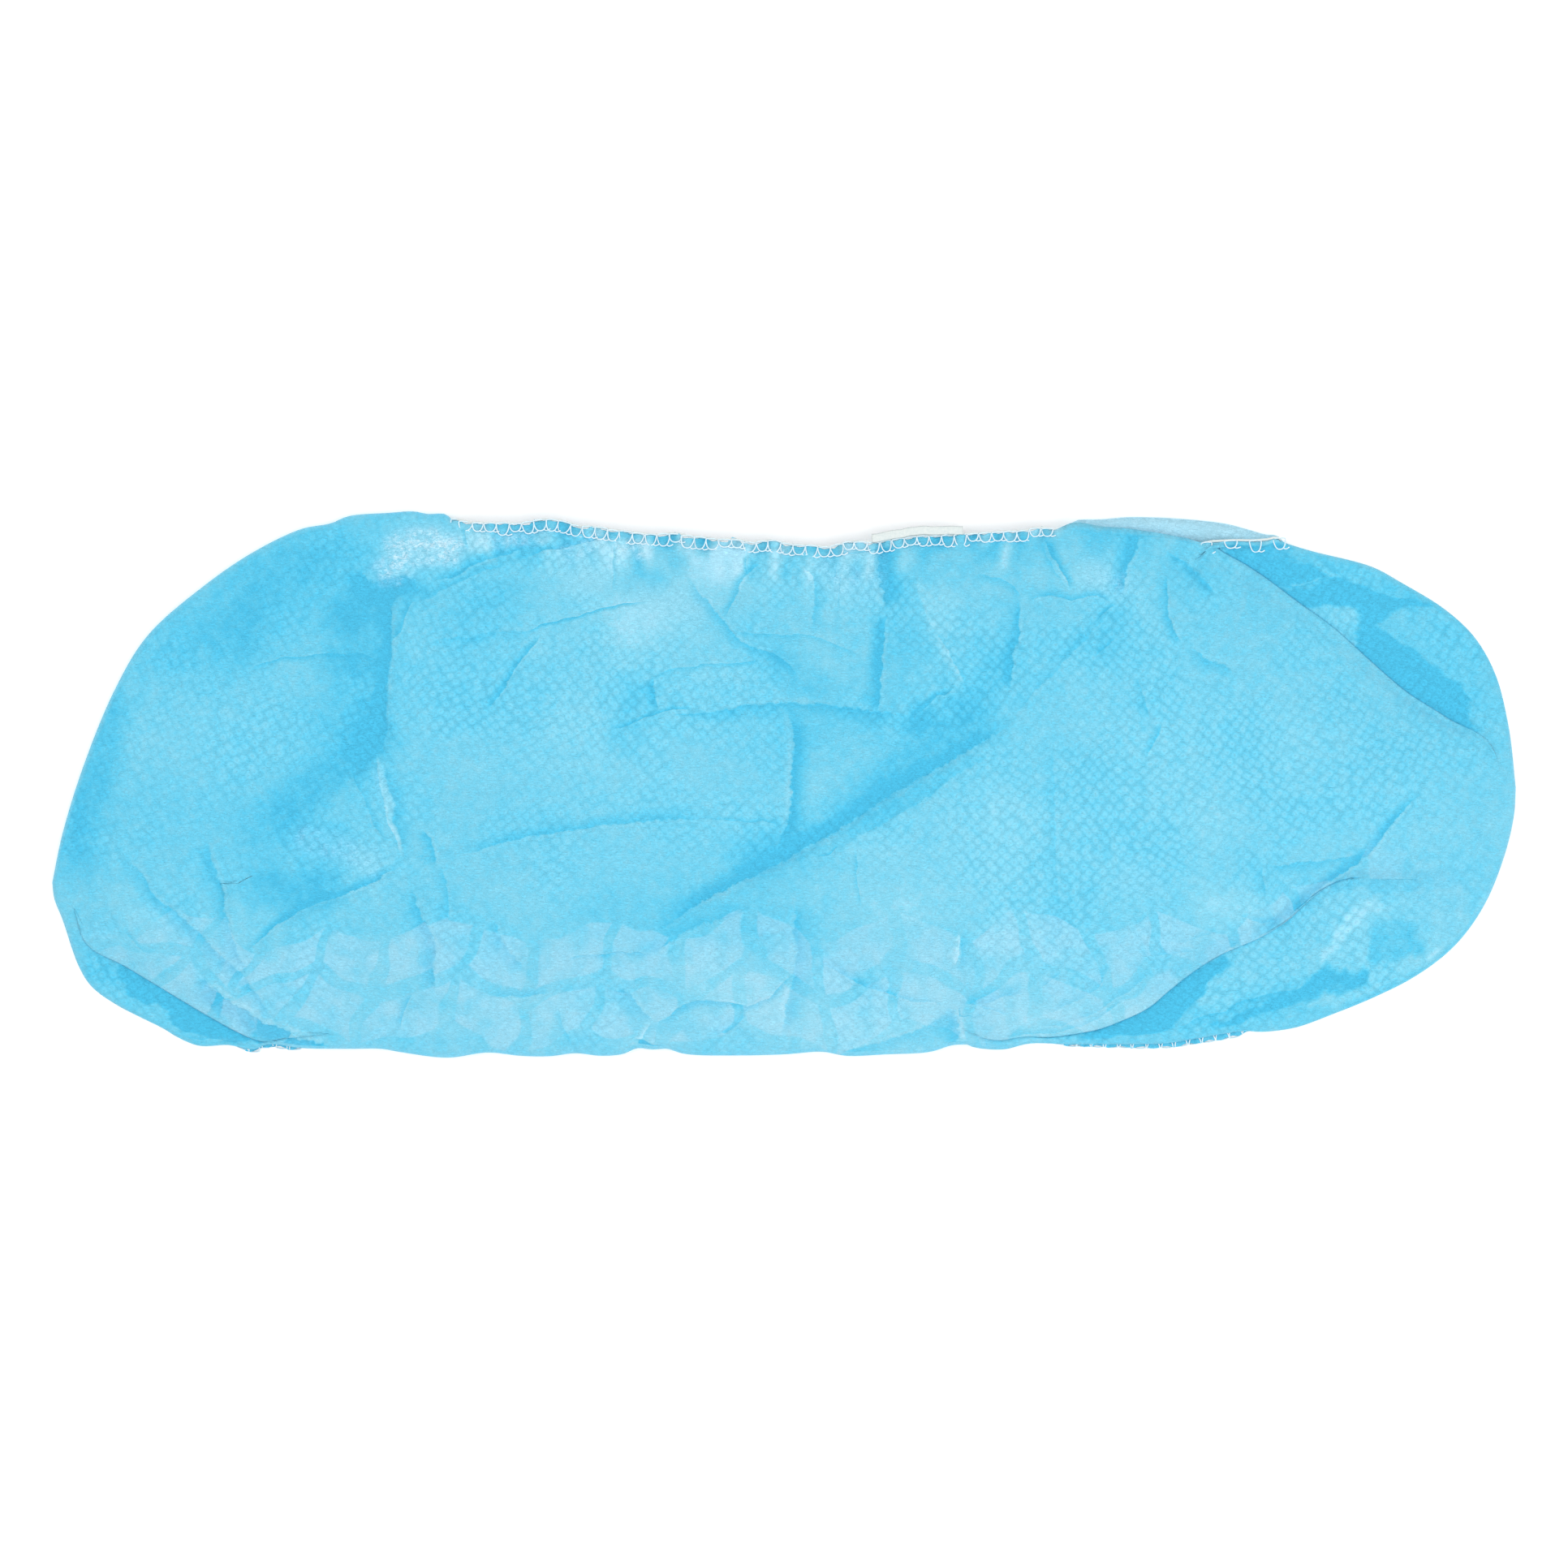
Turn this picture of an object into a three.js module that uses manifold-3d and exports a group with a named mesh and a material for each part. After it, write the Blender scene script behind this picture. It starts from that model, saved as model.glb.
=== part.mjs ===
// A disposable nonwoven shoe cover lying flat on its side, in millimetres, +Z up.
// The toe is at -X, the heel at +X, the elasticated mouth opens towards +Y and the sole seam
// lies along -Y. The far wall lies on the ground, and the near wall is domed and creased over it.
import * as THREE from "three";
import { mergeVertices } from "three/addons/utils/BufferGeometryUtils.js";
import Module from "manifold-3d";

const wasm = await Module();
wasm.setup();

// Driving dimensions
const HALF_LENGTH = 200;
const WALL = 1.2; // thickness of the cloth wall
const GAP = 0.3; // clearance between neighbouring pieces
const MOUTH_HEIGHT = 8.6; // from the ground to the top of the near wall's edge at the mouth
const MOUTH_TOE_X = -89;
const MOUTH_HEEL_X = 134;
const MOUTH_BLEND = 16; // length over which the open edge turns into the closed fold
const FOLD_MID_HEIGHT = 3; // where a closed fold is widest
const FOLD_TOP_HEIGHT = 5.6; // where a closed fold meets the near wall
const FOLD_TOP_INSET = 1.4;
const FOLD_TUCK = 2.4; // how far a closed fold turns under
const ELASTIC_WIDTH = 2.2;
const ELASTIC_THICKNESS = 1.2;
const ELASTIC_LIFT = 0.05; // keeps the turns at the ends of the mouth off the ground
const TAIL = { from: 23, to: 50, width: 1.6, thickness: 0.8 };
const SEAM_WIDTH = 3;
const SEAM_THICKNESS = 0.9;
const SEAM_TOE_X = -172;
const SEAM_HEEL_X = 129;
const SEAM_BLEND = 14;
const SEAM_TUCK = 4.6; // how far the bottom fold turns under to leave room for the seam
const SEAM_SHOWS = 2.4; // how far the seam stands out of the fold at its two ends
const SEAM_HIDDEN = 1.1; // how far it lies back under the fold between them
const SPINE_SHARE = 0.74; // length of the middle line, as a share of the whole

// Sampling
const STATIONS = 60; // along each side, from toe to heel
const RINGS = 9; // from the edge of the near wall to its middle line

// Half of the outline, from toe to heel, along the mouth.
// "setback" is how far the near wall's edge stays behind the far wall's edge.
const TOE_TIP = { x: -HALF_LENGTH, y: -27 };
const HEEL_TIP = { x: HALF_LENGTH, y: -1 };
const MOUTH_SIDE = [
  { x: -197.5, y: -10.5, setback: 0 },
  { x: -185, y: 21.6, setback: 0 },
  { x: -171, y: 43, setback: 0 },
  { x: -145, y: 63.3, setback: 0 },
  { x: -118, y: 73.6, setback: 0 },
  { x: -104, y: 74.7, setback: 0 },
  { x: -90, y: 71.9, setback: 0 },
  { x: -52, y: 67.6, setback: 0 },
  { x: -12, y: 64.1, setback: 0 },
  { x: 14, y: 62.9, setback: 0 },
  { x: 41, y: 64.9, setback: 0 },
  { x: 68, y: 67.4, setback: 0.4 },
  { x: 84, y: 70.2, setback: 2.6 },
  { x: 107, y: 70, setback: 4.6 },
  { x: 134, y: 65.9, setback: 2.4 },
  { x: 148, y: 62.9, setback: 0 },
  { x: 174, y: 52.4, setback: 0 },
  { x: 189, y: 39.6, setback: 0 },
  { x: 197.6, y: 21, setback: 0 },
];
// The other half, along the sole. "shows" is the share of SEAM_SHOWS that applies.
const SOLE_SIDE = [
  { x: -197.8, y: -38.5, shows: 0 },
  { x: -185, y: -58.9, shows: 0 },
  { x: -172, y: -66.2, shows: 0.5 },
  { x: -158, y: -71.5, shows: 1 },
  { x: -132, y: -72.6, shows: 1 },
  { x: -112, y: -73.1, shows: 0 },
  { x: -92, y: -74.7, shows: 0 },
  { x: -52, y: -74.3, shows: 0 },
  { x: -25, y: -73.8, shows: 0 },
  { x: 14, y: -74.2, shows: 0 },
  { x: 41, y: -73.1, shows: 0 },
  { x: 60, y: -71.8, shows: 1 },
  { x: 94, y: -71.2, shows: 1 },
  { x: 124, y: -68.4, shows: 1 },
  { x: 147, y: -64, shows: 0 },
  { x: 174, y: -52, shows: 0 },
  { x: 189, y: -36.5, shows: 0 },
  { x: 197.5, y: -18, shows: 0 },
];
// Height of the near wall along its middle line.
const CROWN = [
  { x: -150, height: 11.5 },
  { x: -120, height: 14.5 },
  { x: -70, height: 17.5 },
  { x: 0, height: 18.5 },
  { x: 70, height: 18 },
  { x: 120, height: 15.5 },
  { x: 150, height: 12.5 },
];
// The main dents and folds of the near wall: valleys along short lines of points [x, y].
const VALLEYS = [
  { name: "toe cross fold", line: [[-107, 53], [-111, 23], [-105, -9], [-96, -58]], depth: 2.6, width: 4 },
  { name: "toe hollow", line: [[-120, 5], [-132, -20]], depth: 2, width: 9 },
  { name: "long low fold", line: [[-129, -33], [-76, -15], [-3, -10]], depth: 1.5, width: 4 },
  { name: "heel diagonal", line: [[64, 19], [17, -10], [-38, -45]], depth: 2.4, width: 5 },
  { name: "mouth gather", line: [[27, 60], [30, 46], [25, 19]], depth: 2, width: 5 },
  { name: "instep fold", line: [[-43, 16], [1, 22], [37, 18]], depth: 1.6, width: 4 },
  { name: "ankle fold", line: [[2, 21], [3, -10]], depth: 2, width: 5 },
  { name: "heel cross fold", line: [[70, 17], [73, -44]], depth: 1.2, width: 4 },
  { name: "heel pinch", line: [[91, 49], [61, 17]], depth: 1.6, width: 5 },
  { name: "mouth crease", line: [[-27, 57], [8, 28]], depth: 1.2, width: 4 },
  { name: "sole crease", line: [[4, -21], [2, -66]], depth: 1.4, width: 4 },
  { name: "low sole fold", line: [[7, -48], [52, -60]], depth: 1.4, width: 4 },
];
// Pleats: beyond each line, on its left-hand side as it runs, the wall lies one fold lower.
// "drop" is the share of the height that is lost there.
const PLEATS = [
  { name: "heel top pleat", line: [[94, 71], [132, 56], [166, 29], [196, 10]], drop: 0.34 },
  { name: "heel sole pleat", line: [[176, -2], [150, -27], [123, -46], [56, -71]], drop: 0.34 },
  { name: "toe sole pleat", line: [[-142, -71], [-175, -54], [-194, -43]], drop: 0.34 },
];
const PLEAT_WIDTH = 2.5;
const PLEAT_REACH = 34;

function valueAt(rows, column, x) {
  const last = rows.length - 1;
  if (x <= rows[0].x) return rows[0][column];
  if (x >= rows[last].x) return rows[last][column];
  const i = rows.findIndex((row) => row.x > x);
  const share = (x - rows[i - 1].x) / (rows[i].x - rows[i - 1].x);
  return THREE.MathUtils.lerp(rows[i - 1][column], rows[i][column], share);
}

// Nearest point of a line of points: its distance, and the side that (x, y) is on.
function nearest(line, x, y) {
  const best = { distance: Infinity, side: 0 };
  for (let i = 1; i < line.length; i += 1) {
    const [ax, ay] = line[i - 1];
    const [bx, by] = line[i];
    const [ux, uy] = [bx - ax, by - ay];
    const along = THREE.MathUtils.clamp(((x - ax) * ux + (y - ay) * uy) / (ux * ux + uy * uy), 0, 1);
    const distance = Math.hypot(x - ax - along * ux, y - ay - along * uy);
    if (distance < best.distance) {
      best.distance = distance;
      best.side = Math.sign(ux * (y - ay) - uy * (x - ax));
    }
  }
  return best;
}

// Height taken off the near wall by the valleys at (x, y).
function valleyDepth(x, y) {
  return VALLEYS.reduce((sum, valley) => {
    const { distance } = nearest(valley.line, x, y);
    return sum + valley.depth * Math.exp(-((distance / valley.width) ** 2));
  }, 0);
}

// Share of the height that is lost beyond the pleats at (x, y).
function pleatDrop(x, y) {
  return PLEATS.reduce((most, pleat) => {
    const { distance, side } = nearest(pleat.line, x, y);
    const step = THREE.MathUtils.smoothstep(side * distance, 0, PLEAT_WIDTH);
    const fade = 1 - THREE.MathUtils.smoothstep(distance, 0.6 * PLEAT_REACH, PLEAT_REACH);
    return Math.max(most, pleat.drop * step * fade);
  }, 0);
}

// 1 along the open mouth and 0 along the closed folds.
function mouthShare(x) {
  const opens = THREE.MathUtils.smoothstep(x, MOUTH_TOE_X - MOUTH_BLEND, MOUTH_TOE_X);
  const closes = THREE.MathUtils.smoothstep(x, MOUTH_HEEL_X, MOUTH_HEEL_X + MOUTH_BLEND);
  return opens * (1 - closes);
}

// 1 along the sole seam and 0 past its ends.
function seamShare(x) {
  const starts = THREE.MathUtils.smoothstep(x, SEAM_TOE_X - SEAM_BLEND, SEAM_TOE_X - 3);
  const ends = THREE.MathUtils.smoothstep(x, SEAM_HEEL_X + 3, SEAM_HEEL_X + SEAM_BLEND);
  return starts * (1 - ends);
}

// The outline as a closed loop, counter-clockwise from the toe tip, each point with its
// inward direction and its point on the middle line.
function makeOutline() {
  const side = (rows) => {
    const points = [TOE_TIP, ...rows, HEEL_TIP].map((row) => new THREE.Vector3(row.x, row.y, 0));
    return new THREE.CatmullRomCurve3(points, false, "centripetal").getSpacedPoints(STATIONS);
  };
  const sole = side(SOLE_SIDE);
  const mouth = side(MOUTH_SIDE);
  const middle = sole.map((point, i) => {
    const y = (point.y + mouth[i].y) / 2;
    return new THREE.Vector3(((point.x + mouth[i].x) / 2) * SPINE_SHARE, y, 0);
  });
  const loop = [
    ...sole.map((point, i) => ({ point, middle: middle[i], onMouth: false })),
    ...mouth.map((point, i) => ({ point, middle: middle[i], onMouth: true })).slice(1, -1).reverse(),
  ];
  loop.forEach((entry, i) => {
    const before = loop[(i + loop.length - 1) % loop.length].point;
    const after = loop[(i + 1) % loop.length].point;
    const tangent = after.clone().sub(before).normalize();
    entry.inward = new THREE.Vector3(-tangent.y, tangent.x, 0);
  });
  return loop;
}

const OUTLINE = makeOutline();

// A point of the outline moved in by "inset" and set at height z.
function edgePoint(entry, inset, z) {
  return entry.point.clone().addScaledVector(entry.inward, inset).setZ(z);
}

// The folded or open edge at one point of the outline, from the ground up: inset and height.
function edgeProfile({ point, onMouth }) {
  const open = onMouth ? mouthShare(point.x) : 0;
  const setback = onMouth ? valueAt(MOUTH_SIDE, "setback", point.x) : 0;
  const seam = onMouth ? 0 : seamShare(point.x);
  const shows = onMouth ? 0 : valueAt(SOLE_SIDE, "shows", point.x) * SEAM_SHOWS;
  const tuck = THREE.MathUtils.lerp(FOLD_TUCK, SEAM_TUCK, seam);
  const mix = THREE.MathUtils.lerp;
  return [
    { inset: mix(tuck, 0, open), z: 0 },
    { inset: mix(mix(0.8, SEAM_TUCK, seam), 0, open), z: WALL + 0.1 },
    { inset: mix(shows, setback, open), z: mix(FOLD_MID_HEIGHT, MOUTH_HEIGHT - WALL, open) },
    { inset: mix(shows + FOLD_TOP_INSET, setback, open), z: mix(FOLD_TOP_HEIGHT, MOUTH_HEIGHT, open) },
  ];
}

// Rings of the cover's surface, from the ground up to the middle line. "shrink" is 0 for the
// outer face of the cloth and WALL for its inner face.
function surfaceRings(shrink) {
  const raise = [shrink, shrink, 0, -shrink];
  const edges = OUTLINE.map((entry) => edgeProfile(entry));
  const lower = raise.map((dz, k) =>
    OUTLINE.map((entry, i) => edgePoint(entry, edges[i][k].inset + shrink, edges[i][k].z + dz)),
  );
  const start = lower[lower.length - 1];
  const upper = Array.from({ length: RINGS }, (_, ring) => {
    const share = (ring + 1) / RINGS;
    return OUTLINE.map((entry, i) => {
      const { x, y } = start[i].clone().lerp(entry.middle, share);
      const rise = 1 - (1 - share) ** 2.2;
      const top = THREE.MathUtils.lerp(edges[i][3].z, valueAt(CROWN, "height", entry.middle.x), rise);
      const shaped = top - valleyDepth(x, y) * Math.min(1, 1.6 * share);
      const z = FOLD_MID_HEIGHT + (shaped - FOLD_MID_HEIGHT) * (1 - pleatDrop(x, y));
      return new THREE.Vector3(x, y, z - shrink);
    });
  });
  return [...lower, ...upper];
}

// A solid from rings that are stacked from a flat bottom ring to a middle line.
function solidOfRings(rings) {
  const count = rings[0].length;
  const positions = rings.flat().flatMap((p) => [p.x, p.y, p.z]);
  const faces = [];
  for (let ring = 0; ring < rings.length - 1; ring += 1) {
    for (let i = 0; i < count; i += 1) {
      const next = (i + 1) % count;
      const [a, b] = [ring * count + i, ring * count + next];
      const [c, d] = [a + count, b + count];
      faces.push(a, b, d, a, d, c);
    }
  }
  const contour = rings[0].map((p) => new THREE.Vector2(p.x, p.y));
  THREE.ShapeUtils.triangulateShape(contour, []).forEach(([a, b, c]) => faces.push(a, c, b));
  return toManifold(positions, faces);
}

// A strip with a four-cornered section at each step. Corners run counter-clockwise as seen
// looking back along the strip from its far end.
function stripGeometry(sections, closed) {
  const positions = sections.flat().flatMap((p) => [p.x, p.y, p.z]);
  const faces = [];
  const steps = closed ? sections.length : sections.length - 1;
  for (let step = 0; step < steps; step += 1) {
    const next = (step + 1) % sections.length;
    for (let corner = 0; corner < 4; corner += 1) {
      const turn = (corner + 1) % 4;
      const [a, b] = [step * 4 + corner, step * 4 + turn];
      const [c, d] = [next * 4 + corner, next * 4 + turn];
      faces.push(a, b, d, a, d, c);
    }
  }
  if (!closed) {
    const end = (sections.length - 1) * 4;
    faces.push(0, 2, 1, 0, 3, 2, end, end + 1, end + 2, end, end + 2, end + 3);
  }
  return { positions, faces };
}

function toGeometry(positions, faces) {
  const geometry = new THREE.BufferGeometry();
  geometry.setAttribute("position", new THREE.Float32BufferAttribute(positions, 3));
  geometry.setIndex(faces);
  return mergeVertices(geometry, 1e-4);
}

function toManifold(positions, faces) {
  const merged = toGeometry(positions, faces);
  const index = Array.from(merged.index.array);
  const kept = [];
  for (let i = 0; i < index.length; i += 3) {
    const [a, b, c] = index.slice(i, i + 3);
    if (a !== b && b !== c && a !== c) kept.push(a, b, c);
  }
  const mesh = new wasm.Mesh({
    numProp: 3,
    vertProperties: new Float32Array(merged.attributes.position.array),
    triVerts: new Uint32Array(kept),
  });
  return new wasm.Manifold(mesh);
}

function manifoldGeometry(solid) {
  const mesh = solid.getMesh();
  const geometry = new THREE.BufferGeometry();
  geometry.setAttribute("position", new THREE.Float32BufferAttribute(mesh.vertProperties, 3));
  geometry.setIndex(Array.from(mesh.triVerts));
  geometry.computeVertexNormals();
  return geometry;
}

// The points of the mouth from toe to heel, between two places along X.
function mouthEntries(from, to) {
  return OUTLINE.filter(({ point, onMouth }) => onMouth && point.x > from && point.x < to).reverse();
}

// The cloth: one continuous wall, closed round the toe, sole and heel and open at the mouth.
function coverShell() {
  const outer = solidOfRings(surfaceRings(0));
  const hollow = solidOfRings(surfaceRings(WALL));
  const past = 12;
  const slotSections = mouthEntries(MOUTH_TOE_X + 3, MOUTH_HEEL_X - 3).map((entry) => {
    const setback = valueAt(MOUTH_SIDE, "setback", entry.point.x);
    const inner = setback + 2.5 * WALL;
    const top = MOUTH_HEIGHT - WALL;
    return [
      edgePoint(entry, inner, WALL),
      edgePoint(entry, -past, WALL),
      edgePoint(entry, -past, top),
      edgePoint(entry, inner, top),
    ];
  });
  const slot = stripGeometry(slotSections, false);
  return outer.subtract(hollow.add(toManifold(slot.positions, slot.faces)));
}

// The elastic: one flat loop along the near and the far edge of the mouth.
function mouthElastic() {
  const entries = mouthEntries(MOUTH_TOE_X + 3, MOUTH_HEEL_X - 3);
  const out = GAP + ELASTIC_WIDTH / 2;
  const low = ELASTIC_THICKNESS / 2 + ELASTIC_LIFT;
  const high = MOUTH_HEIGHT - ELASTIC_THICKNESS / 2;
  const radius = (high - low) / 2;
  const nearLine = entries.map((entry) => {
    const setback = valueAt(MOUTH_SIDE, "setback", entry.point.x);
    return edgePoint(entry, setback - out, high);
  });
  const farLine = entries.map((entry) => edgePoint(entry, -out, low)).reverse();
  const last = nearLine.length - 1;
  const turn = (before, from, to) =>
    [0.2, 0.4, 0.6, 0.8].map((share) => {
      const angle = Math.PI * share;
      const onward = from.clone().sub(before).normalize();
      const middle = from.clone().lerp(to, (1 - Math.cos(angle)) / 2);
      return middle.addScaledVector(onward, radius * Math.sin(angle));
    });
  const path = [
    ...nearLine,
    ...turn(nearLine[last - 1], nearLine[last], farLine[0]),
    ...farLine,
    ...turn(farLine[last - 1], farLine[last], nearLine[0]),
  ];
  const sections = path.map((point, i) => {
    const before = path[(i + path.length - 1) % path.length];
    const after = path[(i + 1) % path.length];
    const tangent = after.clone().sub(before).normalize();
    const across = new THREE.Vector3(0, 1, 0).addScaledVector(tangent, -tangent.y).normalize();
    const up = new THREE.Vector3().crossVectors(tangent, across);
    const corner = (a, b) =>
      point.clone()
        .addScaledVector(across, (a * ELASTIC_WIDTH) / 2)
        .addScaledVector(up, (b * ELASTIC_THICKNESS) / 2);
    return [corner(-1, -1), corner(1, -1), corner(1, 1), corner(-1, 1)];
  });
  const { positions, faces } = stripGeometry(sections, true);
  return toManifold(positions, faces);
}

// The loose end of the elastic, where its two ends overlap and stand out of the edge.
function elasticTail() {
  const inner = GAP + ELASTIC_WIDTH + GAP;
  const outer = inner + TAIL.width;
  const top = MOUTH_HEIGHT - 0.1;
  const sections = mouthEntries(TAIL.from, TAIL.to).map((entry) => [
    edgePoint(entry, -inner, top - TAIL.thickness),
    edgePoint(entry, -outer, top - TAIL.thickness),
    edgePoint(entry, -outer, top),
    edgePoint(entry, -inner, top),
  ]);
  const { positions, faces } = stripGeometry(sections, false);
  return toManifold(positions, faces);
}

// The overlocked seam that closes the sole, lying flat on the ground under the bottom fold.
function soleSeam() {
  const entries = OUTLINE.filter(
    ({ point, onMouth }) => !onMouth && point.x > SEAM_TOE_X && point.x < SEAM_HEEL_X,
  );
  const sections = entries.map((entry) => {
    const shows = valueAt(SOLE_SIDE, "shows", entry.point.x);
    const outer = THREE.MathUtils.lerp(SEAM_HIDDEN, 0, shows);
    return [
      edgePoint(entry, outer, 0),
      edgePoint(entry, outer + SEAM_WIDTH, 0),
      edgePoint(entry, outer + SEAM_WIDTH, SEAM_THICKNESS),
      edgePoint(entry, outer, SEAM_THICKNESS),
    ];
  });
  const { positions, faces } = stripGeometry(sections, false);
  return toManifold(positions, faces);
}

const NONWOVEN = new THREE.MeshStandardMaterial({ color: 0x78d9f8, roughness: 0.75, metalness: 0 });
const ELASTIC = new THREE.MeshStandardMaterial({ color: 0xe9efec, roughness: 0.7, metalness: 0 });
const THREAD = new THREE.MeshStandardMaterial({ color: 0xf2f8fa, roughness: 0.8, metalness: 0 });

function addPiece(group, name, solid, material) {
  const mesh = new THREE.Mesh(manifoldGeometry(solid), material);
  mesh.name = name;
  group.add(mesh);
}

const shoeCover = new THREE.Group();
addPiece(shoeCover, "cover_shell", coverShell(), NONWOVEN);
addPiece(shoeCover, "mouth_elastic", mouthElastic(), ELASTIC);
addPiece(shoeCover, "elastic_tail", elasticTail(), ELASTIC);
addPiece(shoeCover, "sole_seam", soleSeam(), THREAD);

export default shoeCover;
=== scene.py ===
import math

import bmesh
import bpy
import numpy as np
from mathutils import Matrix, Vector


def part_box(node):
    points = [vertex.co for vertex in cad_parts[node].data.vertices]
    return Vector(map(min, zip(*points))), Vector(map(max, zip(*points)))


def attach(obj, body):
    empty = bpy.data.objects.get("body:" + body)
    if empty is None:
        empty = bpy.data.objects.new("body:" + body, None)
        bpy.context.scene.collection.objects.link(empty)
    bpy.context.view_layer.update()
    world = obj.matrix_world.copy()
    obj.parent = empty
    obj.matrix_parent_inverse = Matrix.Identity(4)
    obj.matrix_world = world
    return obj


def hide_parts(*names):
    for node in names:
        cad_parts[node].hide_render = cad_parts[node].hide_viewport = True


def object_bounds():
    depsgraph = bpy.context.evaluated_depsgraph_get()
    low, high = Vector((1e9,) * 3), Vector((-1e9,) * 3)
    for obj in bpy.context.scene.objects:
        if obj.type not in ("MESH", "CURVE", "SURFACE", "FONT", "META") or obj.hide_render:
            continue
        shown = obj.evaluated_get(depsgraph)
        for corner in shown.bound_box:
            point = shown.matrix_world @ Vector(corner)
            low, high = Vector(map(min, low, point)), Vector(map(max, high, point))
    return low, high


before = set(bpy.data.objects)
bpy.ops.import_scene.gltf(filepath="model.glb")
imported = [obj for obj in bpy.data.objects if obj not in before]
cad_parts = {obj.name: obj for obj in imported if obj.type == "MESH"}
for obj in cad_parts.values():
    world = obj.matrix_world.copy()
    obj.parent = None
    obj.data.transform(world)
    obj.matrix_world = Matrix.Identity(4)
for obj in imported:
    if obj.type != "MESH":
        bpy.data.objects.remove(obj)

cad_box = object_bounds()
MM = 0.001  # lengths below are in millimetres

# The cover: one envelope of light blue spunbond polypropylene, folded flat on its side.
# The far wall lies on the ground, the near wall billows over it. The sole seam is at the
# bottom, the elasticated mouth at the top, and the surplus cloth of the heel and toe is pleated.
CLOTH = 0.35  # thickness with its loft
LIE = 0.15  # height of the far wall's underside over the ground
FOLD_IN = 2.6  # how far a fold turns under
FOLD_TOP = 4.2  # height at which a plain fold meets the near wall
MOUTH_TOP = 6.4  # height of the near wall's edge along the mouth
CROWN = [(-160, 10.5), (-120, 12.5), (-70, 14.5), (0, 15.5), (70, 15), (120, 13.5), (160, 11)]
MIDDLE_SHARE = 0.74  # length of the middle line, as a share of the whole
FAR_RINGS = 6  # loops of points across the far wall
UNDER_RINGS = 20  # loops across the layer under a pleat
NEAR_RINGS = 58  # loops across the near wall

# The outline in stretches, each a row of points and the number of steps along it.
OUTLINE = {
    "sole": [
        (88, [(-200, -27), (-199.4, -31.5), (-197.3, -36.8), (-192.9, -49.8), (-189.5, -55.3),
          (-182.9, -60.2), (-169.6, -67.0), (-166, -69.2), (-160, -71.6), (-152, -71.4), (-145.2, -72.6),
          (-141, -71.2), (-131.9, -72.2), (-118.6, -72.4)]),
        (137, [(-118.6, -72.4), (-110, -72.4), (-105.3, -73.2), (-92, -74.8), (-81, -73.4), (-72, -74.3),
          (-64, -74.4), (-57, -73.6), (-50, -74.3), (-44, -73.8), (-40, -72.2), (-36, -72.6), (-32, -72.4),
          (-27, -73.8), (-12, -74.2), (0, -73.9), (10.5, -73.2), (17, -74.3), (28, -73.9), (40, -73.2),
          (46, -71.4), (50, -71.2)]),
        (115, [(50, -71.2), (52, -72), (60, -72.6), (67, -71), (78, -71.2), (94, -71.2), (104, -71),
          (112, -69.8), (120, -68.4), (126, -67.6), (131, -67.8), (140, -66.6), (150, -63), (160.8, -58.6),
          (172, -53), (181, -46.5), (187, -40), (192.5, -31), (197.4, -18), (199.6, -8), (200, -1)]),
    ],
    "mouth": [
        (115, [(-200, -27), (-197.3, -14), (-191.8, 4), (-183, 25.6), (-174, 40.5), (-158.5, 54.2),
          (-145.2, 63.3), (-131.9, 69.7), (-124, 71.2), (-119, 73.2), (-108, 74.1), (-101, 74.5),
          (-97.5, 73.8), (-92.6, 73.8), (-90.5, 72.4)]),
        (130, [(-90.5, 72.4), (-86, 71.8), (-78.7, 71.7), (-65.4, 71.2), (-52, 70.2), (-38.8, 68.8),
          (-25.5, 67.8), (-12, 66.4), (1, 65.8), (12, 65.0), (20, 65.4), (27.7, 67), (41, 68.2), (54.3, 69),
          (67.6, 69.8), (74, 70.6), (80.5, 72.4)]),
        (95, [(80.5, 72.4), (87, 72.4), (94.2, 73), (107.5, 72.6), (120.8, 71.2), (127, 69.6), (132, 68.2),
          (135, 68), (138, 65.8), (144, 63.8), (160.8, 59.4), (169, 55), (181, 47.6), (189, 40),
          (194.6, 30), (198, 16.7), (200, -1)]),
    ],
}
# The edge of the upper layer where it differs: the folds of the heel and toe pleats.
UPPER = {
    ("sole", 0): [(-197.6, -27), (-197, -34), (-193.6, -40), (-189, -44.6), (-180, -49.8), (-170, -55.8),
      (-160, -61.8), (-150, -67.4), (-143.5, -70.2), (-131.9, -71.8), (-118.6, -72.4)],
    ("sole", 2): [(50, -71.2), (60, -70.6), (70, -69.6), (80, -68.2), (86, -67), (92.5, -64.6),
      (99.5, -61.2), (105.5, -56.2), (112, -51.2), (119, -46.8), (125, -44.2), (130, -42), (137.2, -37.6),
      (145, -30.6), (150, -27), (158.5, -20.1), (164.5, -12.1), (175.4, -1.7), (187, 2), (196.5, 3)],
    ("mouth", 0): [(-197.6, -27), (-195.6, -14), (-190.6, 4), (-182.4, 25.4), (-173.6, 40.3),
      (-158.5, 54.2), (-145.2, 63.3), (-131.9, 69.7), (-124, 71.2), (-119, 73.2), (-108, 74.1),
      (-101, 74.5), (-97.5, 73.8), (-92.6, 73.8), (-90.5, 72.4)],
    ("mouth", 2): [(80.5, 72.4), (92, 73), (104, 71.4), (111, 69), (116, 66), (119.5, 63.4), (123, 61.4),
      (130, 57.4), (140, 50), (150, 42.8), (160, 33.8), (170, 25.2), (180, 18.8), (188, 13), (193, 9),
      (196.5, 3)],
}
STEPS = sum(count for count, _ in OUTLINE["sole"])


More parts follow.
